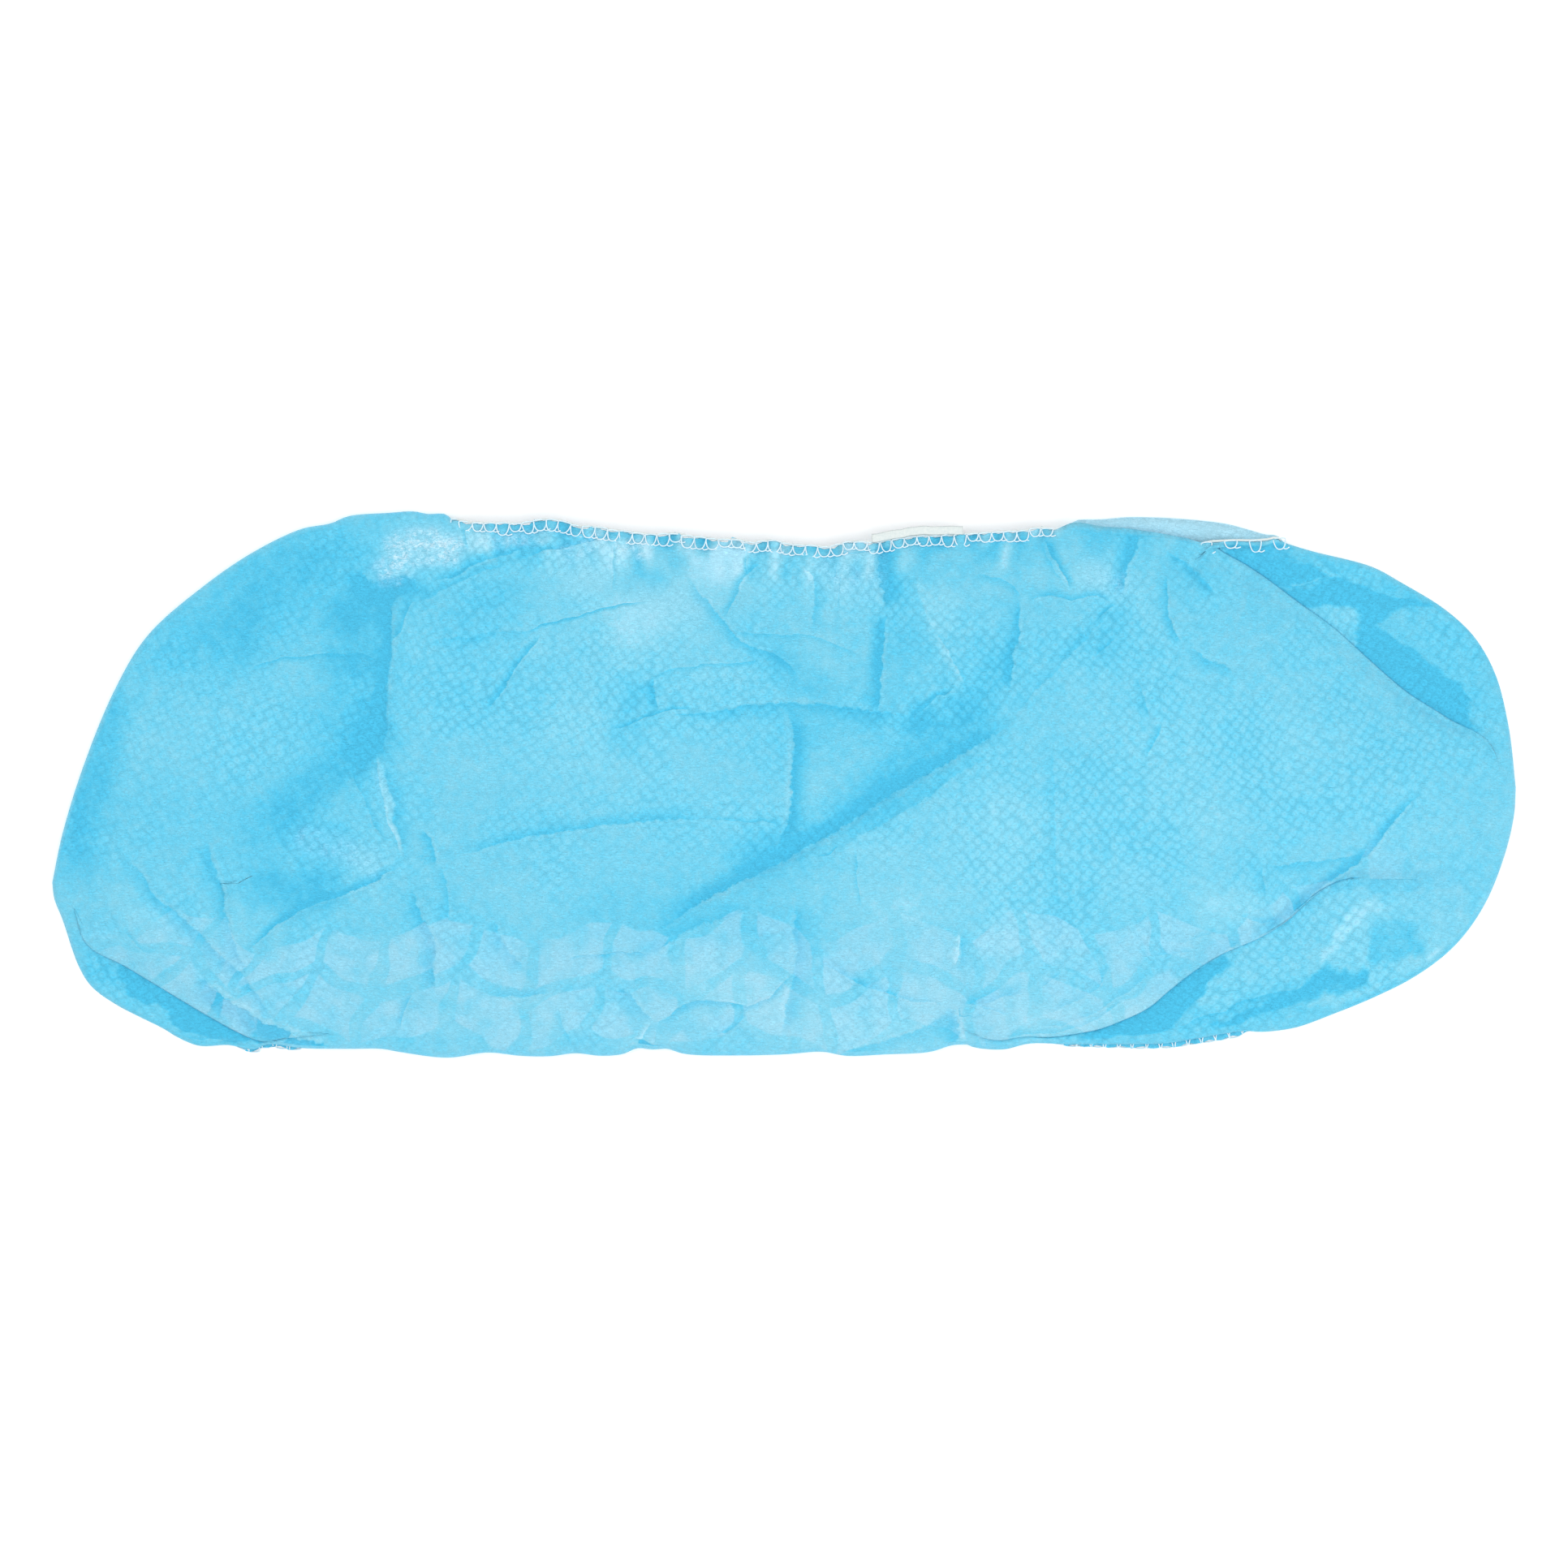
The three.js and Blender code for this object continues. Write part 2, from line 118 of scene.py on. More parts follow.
def smooth_line(points, count):
    """count + 1 points at equal steps along a smooth curve through the given ones."""
    p = np.array(points, float)
    knots = np.concatenate([[0], np.cumsum(np.linalg.norm(np.diff(p, axis=0), axis=1) ** 0.5)])
    ends = np.vstack([2 * p[0] - p[1], p, 2 * p[-1] - p[-2]])
    gaps = np.concatenate([[knots[1]], np.diff(knots), [knots[-1] - knots[-2]]])
    fine = []
    for i in range(len(p) - 1):
        before, here, after = gaps[i], gaps[i + 1], gaps[i + 2]
        a, b, c, d = ends[i], ends[i + 1], ends[i + 2], ends[i + 3]
        start = (b - a) / before - (c - a) / (before + here) + (c - b) / here
        stop = (c - b) / here - (d - b) / (here + after) + (d - c) / after
        t = np.linspace(0, 1, 24, endpoint=False)[:, None]
        fine.append(
            (2 * t**3 - 3 * t**2 + 1) * b + (t**3 - 2 * t**2 + t) * start * here
            + (3 * t**2 - 2 * t**3) * c + (t**3 - t**2) * stop * here
        )
    fine = np.vstack([*fine, p[-1:]])
    along = np.concatenate([[0], np.cumsum(np.linalg.norm(np.diff(fine, axis=0), axis=1))])
    at = np.linspace(0, along[-1], count + 1)
    return np.stack([np.interp(at, along, fine[:, k]) for k in range(p.shape[1])], axis=1)


def side_line(side, table):
    """One side of an edge from the toe tip to the heel tip, STEPS + 1 points."""
    stretches = []
    for i, (count, points) in enumerate(OUTLINE[side]):
        stretches.append(smooth_line(table.get((side, i), points), count)[:-1])
    last = table.get((side, 2), OUTLINE[side][2][1])[-1]
    return np.vstack([*stretches, [last]])


def round_loop(sole, mouth):
    """Both sides as one loop, anticlockwise from the toe tip."""
    return np.concatenate([sole, mouth[-2:0:-1]])


def ease(value, low, high):
    t = np.clip((value - low) / (high - low), 0, 1)
    return t * t * (3 - 2 * t)


def table_at(rows, x):
    """Reads a table of (place, value) rows at x."""
    return np.interp(x, *zip(*rows))


def spread_noise(x, y, size, seed):
    """Smooth noise from -1 to 1 with lumps of the given size."""
    grid = np.random.default_rng(seed).uniform(-1, 1, (512, 512))
    u, v = x / size + 200, y / size + 200
    i, j = np.floor(u).astype(int), np.floor(v).astype(int)
    a, b = u - i, v - j
    a, b = a * a * (3 - 2 * a), b * b * (3 - 2 * b)
    i, j = i % 511, j % 511
    low = grid[i, j] * (1 - a) + grid[i + 1, j] * a
    high = grid[i, j + 1] * (1 - a) + grid[i + 1, j + 1] * a
    return low * (1 - b) + high * b


outer_sole, outer_mouth = side_line("sole", {}), side_line("mouth", {})
upper_sole, upper_mouth = side_line("sole", UPPER), side_line("mouth", UPPER)
middle = (outer_sole + outer_mouth) / 2
middle[:, 0] *= MIDDLE_SHARE
OUTER = round_loop(outer_sole, outer_mouth)
EDGE = round_loop(upper_sole, upper_mouth)
MIDDLE = round_loop(middle, middle)
LOOP = len(OUTER)
STATION = np.arange(LOOP)
ON_MOUTH = STATION > STEPS
AT_X = OUTER[:, 0]
tangent = np.roll(OUTER, -2, axis=0) - np.roll(OUTER, 2, axis=0)
tangent /= np.linalg.norm(tangent, axis=1, keepdims=True)
INWARD = np.stack([-tangent[:, 1], tangent[:, 0]], axis=1)
along = np.concatenate([[0], np.cumsum(np.linalg.norm(np.diff(OUTER, axis=0), axis=1))])

# Where the mouth is open, and where its two edges are rolled in so that their stitches hide.
MOUTH_FROM, MOUTH_TO = -90, 136
open_share = ON_MOUTH * ease(AT_X, MOUTH_FROM - 3, MOUTH_FROM + 4)
open_share *= 1 - ease(AT_X, MOUTH_TO - 2, MOUTH_TO + 4)
near_roll = open_share * ease(AT_X, 71, 78) * (1 - ease(AT_X, 110, 117))
far_roll = open_share * ease(AT_X, 74, 84)
# How far the near wall's own edge stays behind the far wall's, along the mouth.
SETBACK = [
    (70, 0.4), (78, 0.5), (86, 2.0), (98, 3.9), (108, 5.1), (116, 6.0), (124, 3.9), (129, 2.6), (134, 0.8),
    (138, 0.3),
]
setback = open_share * table_at(SETBACK, AT_X)
pleat_gap = np.linalg.norm(EDGE - OUTER, axis=1) - open_share * (setback + 0.9)
pleat = ease(pleat_gap, 0.3, 2.6)
pleat *= np.where(ON_MOUTH, 1 - ease(EDGE[:, 0], 184, 193), 1 - ease(EDGE[:, 0], 150, 176))
pleat *= np.where(ON_MOUTH, AT_X > 0, ease(STATION, 2, 26))
pleat = sum(np.roll(pleat, shift) for shift in range(-3, 4)) / 7
# The heel's sole pleat flattens into a plain valley towards the heel's tip.
RUN_OUT = [(118, 1), (130, 0.5), (142, 0.1), (150, 0.01)]
tucked = np.where(ON_MOUTH, 1, table_at(RUN_OUT, EDGE[:, 0]))

# Creases of the near wall. Each line's deeper and lower side is on its left as it runs, sharp
# along the line and fading over "spread". "drop" is its depth and "tone" how much deeper its
# colour is: painted shade in the crease, partly also the deeper blue of more cloth lying together.
# A negative tone is painted light on a raised ridge.
CREASES = [
    # name, line, spread, drop, tone
    ("toe cross fold",
     [(-108.7, 6), (-108.5, 14), (-108.2, 22), (-107.3, 30), (-107, 38), (-106.6, 48), (-105, 54)], 5.2,
      0.85, 0.79),
    ("toe cross fold, core",
     [(-107, 50), (-107.2, 40), (-107.5, 30), (-108.5, 19), (-109, 8)], 1.3, 0.20, 0.35),
    ("toe cross fold, left", [(-111, 28), (-112, 20), (-113, 11), (-115.5, 4)], 4.5, 0.40, 0.35),
    ("toe cross fold, right", [(-107.5, 37), (-104, 42), (-102, 48), (-99.5, 51)], 3, 0.25, 0.48),
    ("toe flap",
     [(-99, 53), (-102, 56), (-105, 56.6), (-108, 55.4), (-111, 54), (-114, 56.4), (-115, 59)], 7, 0.70,
      0.73),
    ("toe bright ridge",
     [(-111.4, 11), (-110, 2), (-108, -7), (-105.4, -15), (-103.5, -21)], 2.4, -0.18, -0.32),
    ("toe ridge, right", [(-109, 6), (-106.5, -4), (-104.6, -13), (-103, -20)], 4, 0.35, 0.35),
    ("toe fork", [(-118, 6), (-115, -2), (-112, -9), (-108.4, -16)], 2.6, 0.20, 0.26),
    ("toe low step", [(-95.6, -58), (-95.2, -50), (-95.4, -43), (-98, -36), (-100.5, -28)], 5, 0.65, 0.54),
    ("toe low stroke", [(-104.2, -67), (-103.2, -62), (-101, -57)], 1.8, 0.30, 0.48),
    ("toe second step", [(-94, -22), (-95, -17), (-98, -12)], 3.6, 0.30, 0.54),
    ("toe second band", [(-90.8, -39), (-91.2, -30), (-93, -22)], 3.4, 0.25, 0.32),
    ("long low fold",
     [(-147, -46.5), (-143, -43), (-137, -38), (-130, -34), (-120, -30), (-110, -26), (-102.5, -21.5)],
      2.6, 0.65, 0.70),
    ("long low fold, right",
     [(-92, -19.5), (-80, -17), (-70, -15), (-60, -13.2), (-50, -11.6), (-40, -10.2), (-30, -9.2),
      (-16, -9.2)], 4.2, 0.45, 0.41),
    ("long low fold, end", [(-22, -9.4), (-10, -9.8), (1, -11.2)], 1.6, 0.15, 0.28),
    ("toe brow",
     [(-108, 33), (-114, 35), (-120, 35.6), (-130, 34.6), (-140, 33.5), (-147, 30)], 1.7, 0.25, 0.41),
    ("toe low curve",
     [(-145.5, -53), (-148.6, -45), (-151, -38), (-152.6, -30), (-154.6, -22), (-157.4, -14)], 5, 0.45,
      0.48),
    ("toe long curve",
     [(-137, -67), (-141.6, -60), (-146, -53), (-152, -47.4), (-160, -40), (-168, -32.6), (-174, -26),
      (-181, -16)], 4.2, 0.40, 0.41),
    ("toe second pleat",
     [(-121, -72.3), (-130, -69.8), (-140, -65.8), (-150, -59.8), (-155, -56.4), (-161, -52)], 6.6, 0.75,
      1.3),
    ("toe tread nick", [(-180, -40), (-176, -43.6), (-172.6, -47)], 2, 0.15, 0.22),
    ("instep line",
     [(-36, 50.6), (-40, 49.6), (-50, 47.6), (-60, 44.7), (-66, 42.8), (-72, 41.8)], 1.2, 0.25, 0.63),
    ("instep line, left", [(-66, 42.8), (-76, 41), (-86, 40), (-98, 38.6)], 3.2, 0.15, 0.20),
    ("instep nick", [(-64.6, 41), (-69.4, 35.6), (-73.6, 30), (-77, 24.4), (-81, 18)], 3, 0.35, -0.04),
    ("instep nick, shade",
     [(-79.8, 20), (-76.4, 25), (-73, 30.4), (-69, 35.8), (-65, 40.4)], 2.6, 0.30, 0.57),
    ("flap edge", [(-70, 61.4), (-66, 62.9), (-60, 64.6), (-50, 66.8), (-44, 68.2)], 2.4, 0.35, 0.63),
    ("flap edge, left",
     [(-96, 54.6), (-90, 56.4), (-85, 58.9), (-80, 61), (-75, 62.6), (-69, 64)], 2.8, 0.45, 0.54),
    ("flap under", [(-101, 49.4), (-95, 51.6), (-90, 54.2), (-83, 57), (-74, 60.4)], 3.4, 0.20, 0.28),
    ("crinkle 1", [(-85, 64), (-86.6, 67.4), (-88, 71)], 1.4, 0.15, 0.38),
    ("crinkle 2", [(-74, 64), (-74, 67), (-76, 70)], 1.4, 0.15, 0.35),
    ("mouth line", [(-46.8, 67), (-46.6, 52)], 1.5, 0.15, 0.22),
    ("gather 1",
     [(5.5, 27), (0, 33.6), (-10, 38.2), (-14, 41.4), (-18, 46), (-23, 51.4), (-27.5, 57)], 3.2, 0.50,
      0.41),
    ("gather 2", [(-16.6, 44.6), (-13.2, 51), (-10.6, 56.4), (-5.6, 60.4)], 2.4, 0.40, 0.48),
    ("gather 2, mouth", [(-10, 57), (-10.2, 62.6)], 1.2, 0.15, 0.32),
    ("gather 3", [(4.4, 60.6), (7.6, 56.4), (8.2, 50), (7.6, 41)], 3.6, 0.35, 0.32),
    ("gather 4", [(22, 34.4), (15, 37), (8, 39.8), (0, 40.6), (-8, 41.2), (-16, 42.4)], 2, 0.20, 0.28),
    ("mouth dart", [(26.8, 67), (25.4, 60), (26.4, 55), (27.2, 50), (27.6, 46.6)], 9, 1.00, 0.79),
    ("mouth dart, tongue", [(25.7, 18), (26, 27), (26.7, 36), (27.3, 42), (29.6, 46.4)], 4.6, 0.75, 0.79),
    ("mouth dart, light", [(35, 59), (36.6, 52), (39.4, 44), (44, 37.4), (47.4, 31)], 3, -0.20, -0.12),
    ("heel spike", [(49.4, 26), (46.6, 32), (44, 37), (40.6, 41.4)], 3.6, -0.25, -0.35),
    ("island, left", [(-34.6, 19.6), (-34.6, 24), (-35, 29.4)], 3, 0.40, 0.54),
    ("island, top", [(-4, 34), (-14, 33), (-24, 32), (-32, 30.8), (-37, 28)], 1.6, 0.20, 0.32),
    ("ankle line",
     [(36, 19), (25, 19.7), (10, 21.6), (0, 22.3), (-10, 21), (-20, 20), (-28, 19)], 5, 0.50, 0.44),
    ("ankle line, left", [(-47, 15), (-41, 16.4), (-34, 18.9), (-24, 20.2)], 1.4, 0.20, 0.54),
    ("ankle line, low", [(-20, 19.7), (-31, 18)], 1, 0.10, 0.32),
    ("ankle drop", [(1.2, 21.4), (2.5, 10), (2.2, 0), (1.6, -8), (-1.6, -18.4)], 5.6, 0.70, 0.73),
    ("heel diagonal",
     [(-39, -43.6), (-30, -37), (-20, -30.7), (-10, -25.3), (0, -20.9), (10, -15.4), (20, -9.2),
      (30, -2.2), (40, 3.6), (50, 9.4), (58, 14.4), (66, 20)], 5.6, 1.10, 0.73),
    ("heel diagonal, second",
     [(13, -19), (17, -16.5), (25, -11.5), (33, -7), (40, -2.5), (47, 2.5), (58, 9)], 7, 0.35, 0.26),
    ("heel diagonal, low",
     [(-39, -48), (-36, -46.5), (-31.6, -44), (-27, -40.5), (-18, -37), (-8, -34)], 5.6, 0.35, 0.35),
    ("heel diagonal, tail",
     [(-34, -46.6), (-42, -46), (-50, -46), (-57, -46.6), (-60, -48.4)], 1.3, 0.15, 0.41),
    ("heel edge", [(60.6, 24), (61.8, 31), (63, 38), (64, 45), (64.3, 51)], 4.2, 0.65, 0.67),
    ("heel notch", [(34, 17.4), (36.6, 20), (40.6, 22.6), (46, 26.8)], 1.7, 0.30, 0.57),
    ("sole drop", [(3.4, -30), (3.2, -41), (3, -48), (1.6, -58), (-0.6, -70)], 6, 0.55, 0.48),
    ("sole drop, side", [(21.2, -34), (20.2, -26), (19.6, -17)], 1.6, 0.15, 0.28),
    ("sole tick", [(9.4, -20.2), (12.6, -19.2), (15, -17)], 1.2, 0.15, 0.48),
    ("sole low line",
     [(7.6, -46.6), (13, -50.4), (18, -53), (23, -55.4), (30, -57.3), (38, -59.4), (46, -60.6)], 2.6, 0.50,
      0.38),
    ("sole low line, right", [(66, -57.2), (58, -58.2), (50, -60.2)], 0.9, 0.10, 0.16),
    ("sole low wedge", [(49, -60.3), (55, -59), (61, -57.8), (66, -57)], 3.4, 0.35, 0.51),
    ("sole low tick", [(50, -60), (55, -60.8), (60.4, -63.4)], 1.2, 0.15, 0.38),
    ("sole notch", [(46, -72), (47.1, -68), (47, -64), (45.4, -60)], 8, 0.65, 0.57),
    ("sole notch, left", [(46, -62), (40, -65.5), (32, -69), (25, -71), (12, -73.4)], 5, 0.25, 0.32),
    ("sole toe line",
     [(3.6, -49), (0.6, -54), (-3, -57.2), (-8, -59.5), (-15, -59.6), (-24, -59), (-29, -61.4),
      (-33, -64.4), (-36.6, -65)], 2.2, 0.45, 0.51),
    ("sole toe wedge", [(-35.2, -65), (-39, -60.4), (-43, -56), (-48, -55.4)], 4.6, 0.30, 0.41),
    ("sole toe edge", [(-41.6, -73), (-38.2, -69.4), (-36, -65)], 2.4, -0.20, -0.38),
    ("sole gap", [(-33, -73), (-36.6, -71), (-40.6, -70)], 3, 0.40, 1.11),
    ("sole slot", [(-19.6, -68.6), (-15.6, -67.6), (-11, -64), (-9, -60)], 3.4, 0.25, 0.38),
    ("sole left slot", [(-80, -58.4), (-70, -57.6), (-63, -56.4)], 3.4, 0.20, 0.35),
    ("sole left dent", [(-70, -50), (-74.4, -45.6), (-77.4, -40), (-78.6, -36)], 4.6, 0.30, 0.38),
    ("sole left edge", [(-57.4, -72.6), (-60, -66), (-62.4, -60)], 2, 0.20, 0.20),
    ("heel band", [(75.4, -46), (73.8, -20), (73.2, 0), (72.8, 17)], 4.6, 0.20, 0.16),
    ("heel light stroke", [(46.4, -49.6), (47.8, -45), (47.2, -40)], 2.2, -0.15, -0.40),
    ("heel light stroke, dark", [(47.6, -40), (48.4, -45), (47.2, -50)], 2.2, 0.20, 0.26),
    ("heel tick", [(69.6, -55), (74.6, -51.4)], 1.2, 0.15, 0.38),
    ("heel parallel 1", [(70, -63), (80, -58.6), (86, -53.6), (89, -49)], 2.6, 0.20, 0.26),
    ("heel parallel 2", [(66, -67.4), (80, -64), (92, -58), (101, -50)], 3, 0.25, 0.26),
    ("heel parallel 3", [(58, -70), (74, -67.6), (86, -63.6), (97, -57)], 2.4, 0.20, 0.26),
    ("heel stroke", [(70.8, 66.6), (73.2, 61), (76, 56.2), (77.6, 52.8)], 2.6, 0.45, 0.67),
    ("heel stroke, edge", [(76.2, 53.2), (73.6, 57.2), (71.6, 61.4), (70, 66)], 1.2, 0.10, 0.22),
    ("heel triangle", [(91.4, 50.6), (93, 57), (95.4, 63), (96.4, 69)], 5.2, 0.60, 0.79),
    ("heel brow", [(66, 49.6), (72, 51.2), (78, 50.2), (84, 51), (89.6, 49)], 2.2, 0.15, 0.42),
    ("heel brow, left", [(64.6, 50.6), (62.6, 53.2), (57, 56), (51.6, 57.4)], 2.4, 0.20, 0.32),
    ("heel star 1", [(60, 16.6), (74, 31), (83, 41), (90, 48.6)], 4.6, 0.35, 0.22),
    ("heel star 2", [(103.6, 63.6), (109, 59.4), (113, 55), (117, 50)], 4.2, 0.35, 0.04),
    ("heel star 2, shade", [(117.4, 51), (113.6, 56), (109.4, 60.4), (104, 64)], 4.8, 0.30, 0.41),
    ("heel star 3", [(108.6, 38), (105, 44), (103.8, 51), (104, 57.6)], 3, 0.40, 0.51),
    ("heel star 4", [(122, 30), (116, 33.4), (110, 37.6)], 4.6, 0.30, 0.38),
    ("heel star 5", [(84.6, 44.6), (87.4, 47), (90.6, 48.6)], 1.4, 0.15, 0.41),
    ("heel star 6", [(84, 34.4), (87.4, 37.4), (90.4, 40.6)], 1.8, 0.15, 0.38),
    ("heel comma", [(98.6, 6.6), (100.6, 11), (102.2, 17)], 2.6, 0.25, 0.44),
    ("heel comma, top", [(98.4, 18), (97.4, 23), (95.6, 29)], 3, 0.20, 0.28),
    ("heel low hook", [(160, -18.8), (150, -20), (140, -21.6), (130.4, -22)], 3.2, 0.30, 0.32),
    ("heel low hook, left", [(130.4, -31), (130.2, -22)], 3, 0.20, 0.26),
    ("heel seam line",
     [(124, -44), (130, -41), (137.2, -36.6), (145, -29.8), (150, -26), (158.5, -19), (164.5, -11.4),
      (175.4, -1)], 3.6, 0.45, 0.70),
    ("heel seam shade", [(114, -49), (120, -45), (126, -42.6)], 5, 0.25, 0.35),
    ("heel wrinkle 1", [(106, -43), (112, -42), (118, -39.4)], 1.8, 0.15, 0.22),
    ("heel wrinkle 2", [(124, -35.6), (130, -37.6), (137, -36.4)], 1.8, 0.20, 0.35),
    ("heel wrinkle 3", [(100, -47.6), (106, -45.6), (112, -45.4)], 1.8, 0.15, 0.22),
]
# Steps of the layer that shows beyond the pleats, in the same columns.
UNDER_CREASES = [
    ("middle layer's edge",
     [(148, -49.4), (145, -52), (141, -55.6), (133, -57.2), (120, -61.6), (105, -67.6)], 2.4, 0.5, 0.30),
    ("middle layer's hem", [(141, -58.4), (130, -61.4), (118, -66)], 2.6, 0.3, 0.24),
    ("wedge's right side",
     [(106.6, -67), (109, -63), (112.6, -57.6), (116, -53.6), (122, -49.6)], 3.6, 0.4, 0.12),
    ("sharp patch", [(159.4, -56), (159.2, -50.4)], 6.0, 0.2, 0.16),
    ("toe under step", [(-166, -69), (-158, -69.6), (-146, -71)], 1.4, 0.4, 0.3),
    ("heel top step",
     [(176, 49.4), (168, 50.4), (158, 53.4), (150, 56.4), (142, 59.6), (132, 61)], 3.6, 0.4, 0.16),
    ("heel top streak", [(133, 54.6), (141, 54.2), (149, 56.8)], 1.8, -0.2, -0.36),
]
# Broad soft dents and swellings, with painted shade in the dents and painted light on the swellings.
SWELLS = [
    # line, depth, width, tone
    ([(-134, -6), (-126, 1), (-118, 6), (-112, 13)], 1.6, 6.5, 0.34),
    ([(-140, -27), (-134, -30), (-126, -28)], 1.0, 6, 0.36),
    ([(-141, -12), (-133, -14), (-122, -16)], 0.8, 7, 0.20),
    ([(-193, -20), (-191, -8), (-187, 5), (-183, 20)], 0.3, 6, 0.30),
    ([(-168, 36), (-150, 52), (-134, 64)], 0.2, 9, 0.16),
    ([(-147, 36), (-146, 46)], 0.2, 4, 0.16),
    ([(-119, 46), (-111, 50)], 1.0, 6, 0.26),
    ([(-105, 53), (-100, 53)], 0.6, 3.4, 0.26),
    ([(-122, 33), (-113, 32)], 0.3, 3.6, 0.2),
    ([(-113, 22), (-116, 12)], 0.5, 5, 0.16),
    ([(-85, 32), (-70, 24)], 0.2, 12, 0.08),
    ([(-88, 46), (-76, 52)], 0.3, 8, 0.12),
    ([(-42, 57), (-36, 57)], 0.7, 4.6, 0.26),
    ([(-44, 13), (-40, 24)], 0.3, 6, 0.16),
    ([(-2, 34), (8, 26)], 0.5, 5, 0.2),
    ([(3, 14), (24, 17)], 0.3, 5, 0.10),
    ([(36.6, 17.6), (37, 18.6)], 0.6, 3.6, 0.4),
    ([(50, 18), (40, 12), (32, 4), (24, -3), (10, -12), (-8, -20)], 1.3, 6.5, 0.30),
    ([(34, 40), (31, 28)], 0.5, 8, 0.12),
    ([(47, 22), (54, 26), (58, 34)], 0.3, 6, 0.12),
    ([(84, 70), (92, 68)], 0.2, 5, 0.26),
    ([(70, 66), (66, 66.6)], 0.2, 3, 0.2),
    ([(86, 38), (90, 44)], 0.5, 6, 0.12),
    ([(-60, 10), (-30, -2)], -1.4, 18, -0.06),
    ([(-30, 44), (-40, 40)], -0.8, 10, -0.16),
    ([(-70, -30), (-50, -26)], -1.0, 12, -0.06),
    ([(-150, 10), (-165, 0)], -1.0, 18, -0.02),
    ([(-177, -34), (-172, -38)], -0.4, 6, -0.10),
    ([(-152, -40), (-157, -36)], -0.4, 4, -0.08),
    ([(48, -20), (36, -36)], -1.2, 16, -0.06),
    ([(112, -6), (126, 8)], -1.2, 20, -0.04),
    ([(116, -34), (126, -34)], -0.6, 6, -0.18),
    ([(42, 50), (42, 44)], -0.5, 5, -0.18),
    ([(78, 56), (88, 56)], -0.4, 4, -0.10),
    ([(100, 46), (122, 50)], -0.4, 9, -0.10),
    ([(12, -28), (22, -30)], -0.6, 8, -0.06),
    ([(-152, 38), (-134, 54), (-120, 62)], 0.3, 11, 0.20),
    ([(-124, 18), (-116, 40)], 0.4, 8, 0.16),
    ([(-38, 61), (-14, 60)], -0.3, 9, -0.16),
    ([(-8, 56), (2, 60)], -0.3, 8, -0.10),
    ([(-95, -60), (-60, -62), (-20, -64)], -0.2, 8, -0.04),
    ([(-20, -50), (10, -66), (40, -66)], -0.2, 10, -0.14),
    ([(60, -10), (60, -50)], -0.2, 10, -0.06),
    ([(-50, -34), (-8, -38)], 0.2, 10, 0.11),
    ([(-186, -4), (-150, -10)], 0.2, 12, 0.08),
    ([(108, 52), (124, 48)], 0.2, 10, 0.12),
    ([(-118, 44), (-104, 30)], 0.2, 8, 0.12),
    ([(8, -6), (26, -16)], -0.2, 8, -0.12),
    ([(-58, 58), (-44, 48)], -0.3, 10, -0.12),
    ([(70, -66), (100, -64)], -0.1, 7, -0.14),
]
# The layer beyond the pleats: deeper blue where more layers lie together and paler where one lies
# alone, with painted shade in the hollows under the upper layers' edges and painted light at the
# lit lower right of the heel.
PATCHES = [
    # corners, tone
    ([(121, 62), (128, 61), (134, 61), (142, 60), (150, 56.5), (158, 53.5), (168, 50.5), (177, 49.5),
      (170, 48.5), (164, 47), (162, 43), (166, 40), (172, 36), (178, 31), (184, 27), (187, 22), (186, 14),
      (176, 17), (168, 24), (160, 31), (156, 37), (157.5, 43), (157, 48), (150, 49), (141, 48), (133, 54),
      (122, 60)], 0.50),
    ([(130, 69), (137, 67), (140, 61), (130, 60), (122, 61), (120, 66)], 0.34),
    ([(139, 65), (160, 60), (180, 49), (160, 52), (148, 58), (139, 60)], 0.12),
    ([(133, 54.8), (140, 54.6), (146, 56), (150, 57), (148, 54.4), (143, 53.2), (137, 53.2)], -0.34),
    ([(141, 49.6), (150, 49), (156.4, 48), (157, 43), (154, 40), (147, 44)], -0.10),
    ([(96, -61.6), (105, -54), (112, -50), (119.5, -48), (122, -49.4), (116, -54), (113, -58), (109, -63),
      (106.6, -66.6), (100, -67.8), (88, -69.6), (82, -70), (84, -66)], 0.62),
    ([(147, -49.5), (149, -50), (151, -52), (159, -50.5), (159.5, -55.5), (152, -57), (146, -58),
      (141, -59.5), (132, -62), (122, -66), (117, -66.5), (123, -63.5), (131, -60), (141, -56)], 0.52),
    ([(138, -60), (146, -48), (158, -30), (172, -12), (184, 0), (203, 4), (203, -20), (190, -44),
      (165, -62)], -0.18),
    ([(124, -46), (136, -39), (147, -31), (157, -26), (163, -31), (158, -38), (149, -47), (141, -53),
      (130, -56), (118, -62), (112, -60), (118, -52)], -0.16),
    ([(160, -39), (165, -36), (170, -34.5), (172, -40), (174, -46), (171, -46), (166, -49), (160, -49)],
      0.26),
    ([(168, -37), (171, -35), (174.4, -46), (171, -45)], 0.16),
    ([(181, -26), (189, -22), (189, -30), (186, -35), (182, -30)], 0.16),
    ([(-182, -49), (-170, -55), (-160, -61), (-150, -67), (-143, -70.6), (-150, -69.8), (-158, -69),
      (-166, -66.4), (-168, -61), (-178, -58.5), (-181, -54)], 0.56),
    ([(-190, -45), (-182, -49), (-181, -57), (-190, -53)], 0.10),
    ([(172, -50), (183, -42), (190, -28), (195, -12), (198, 4), (202, 4), (202, -18), (192, -40),
      (176, -56)], -0.26),
]
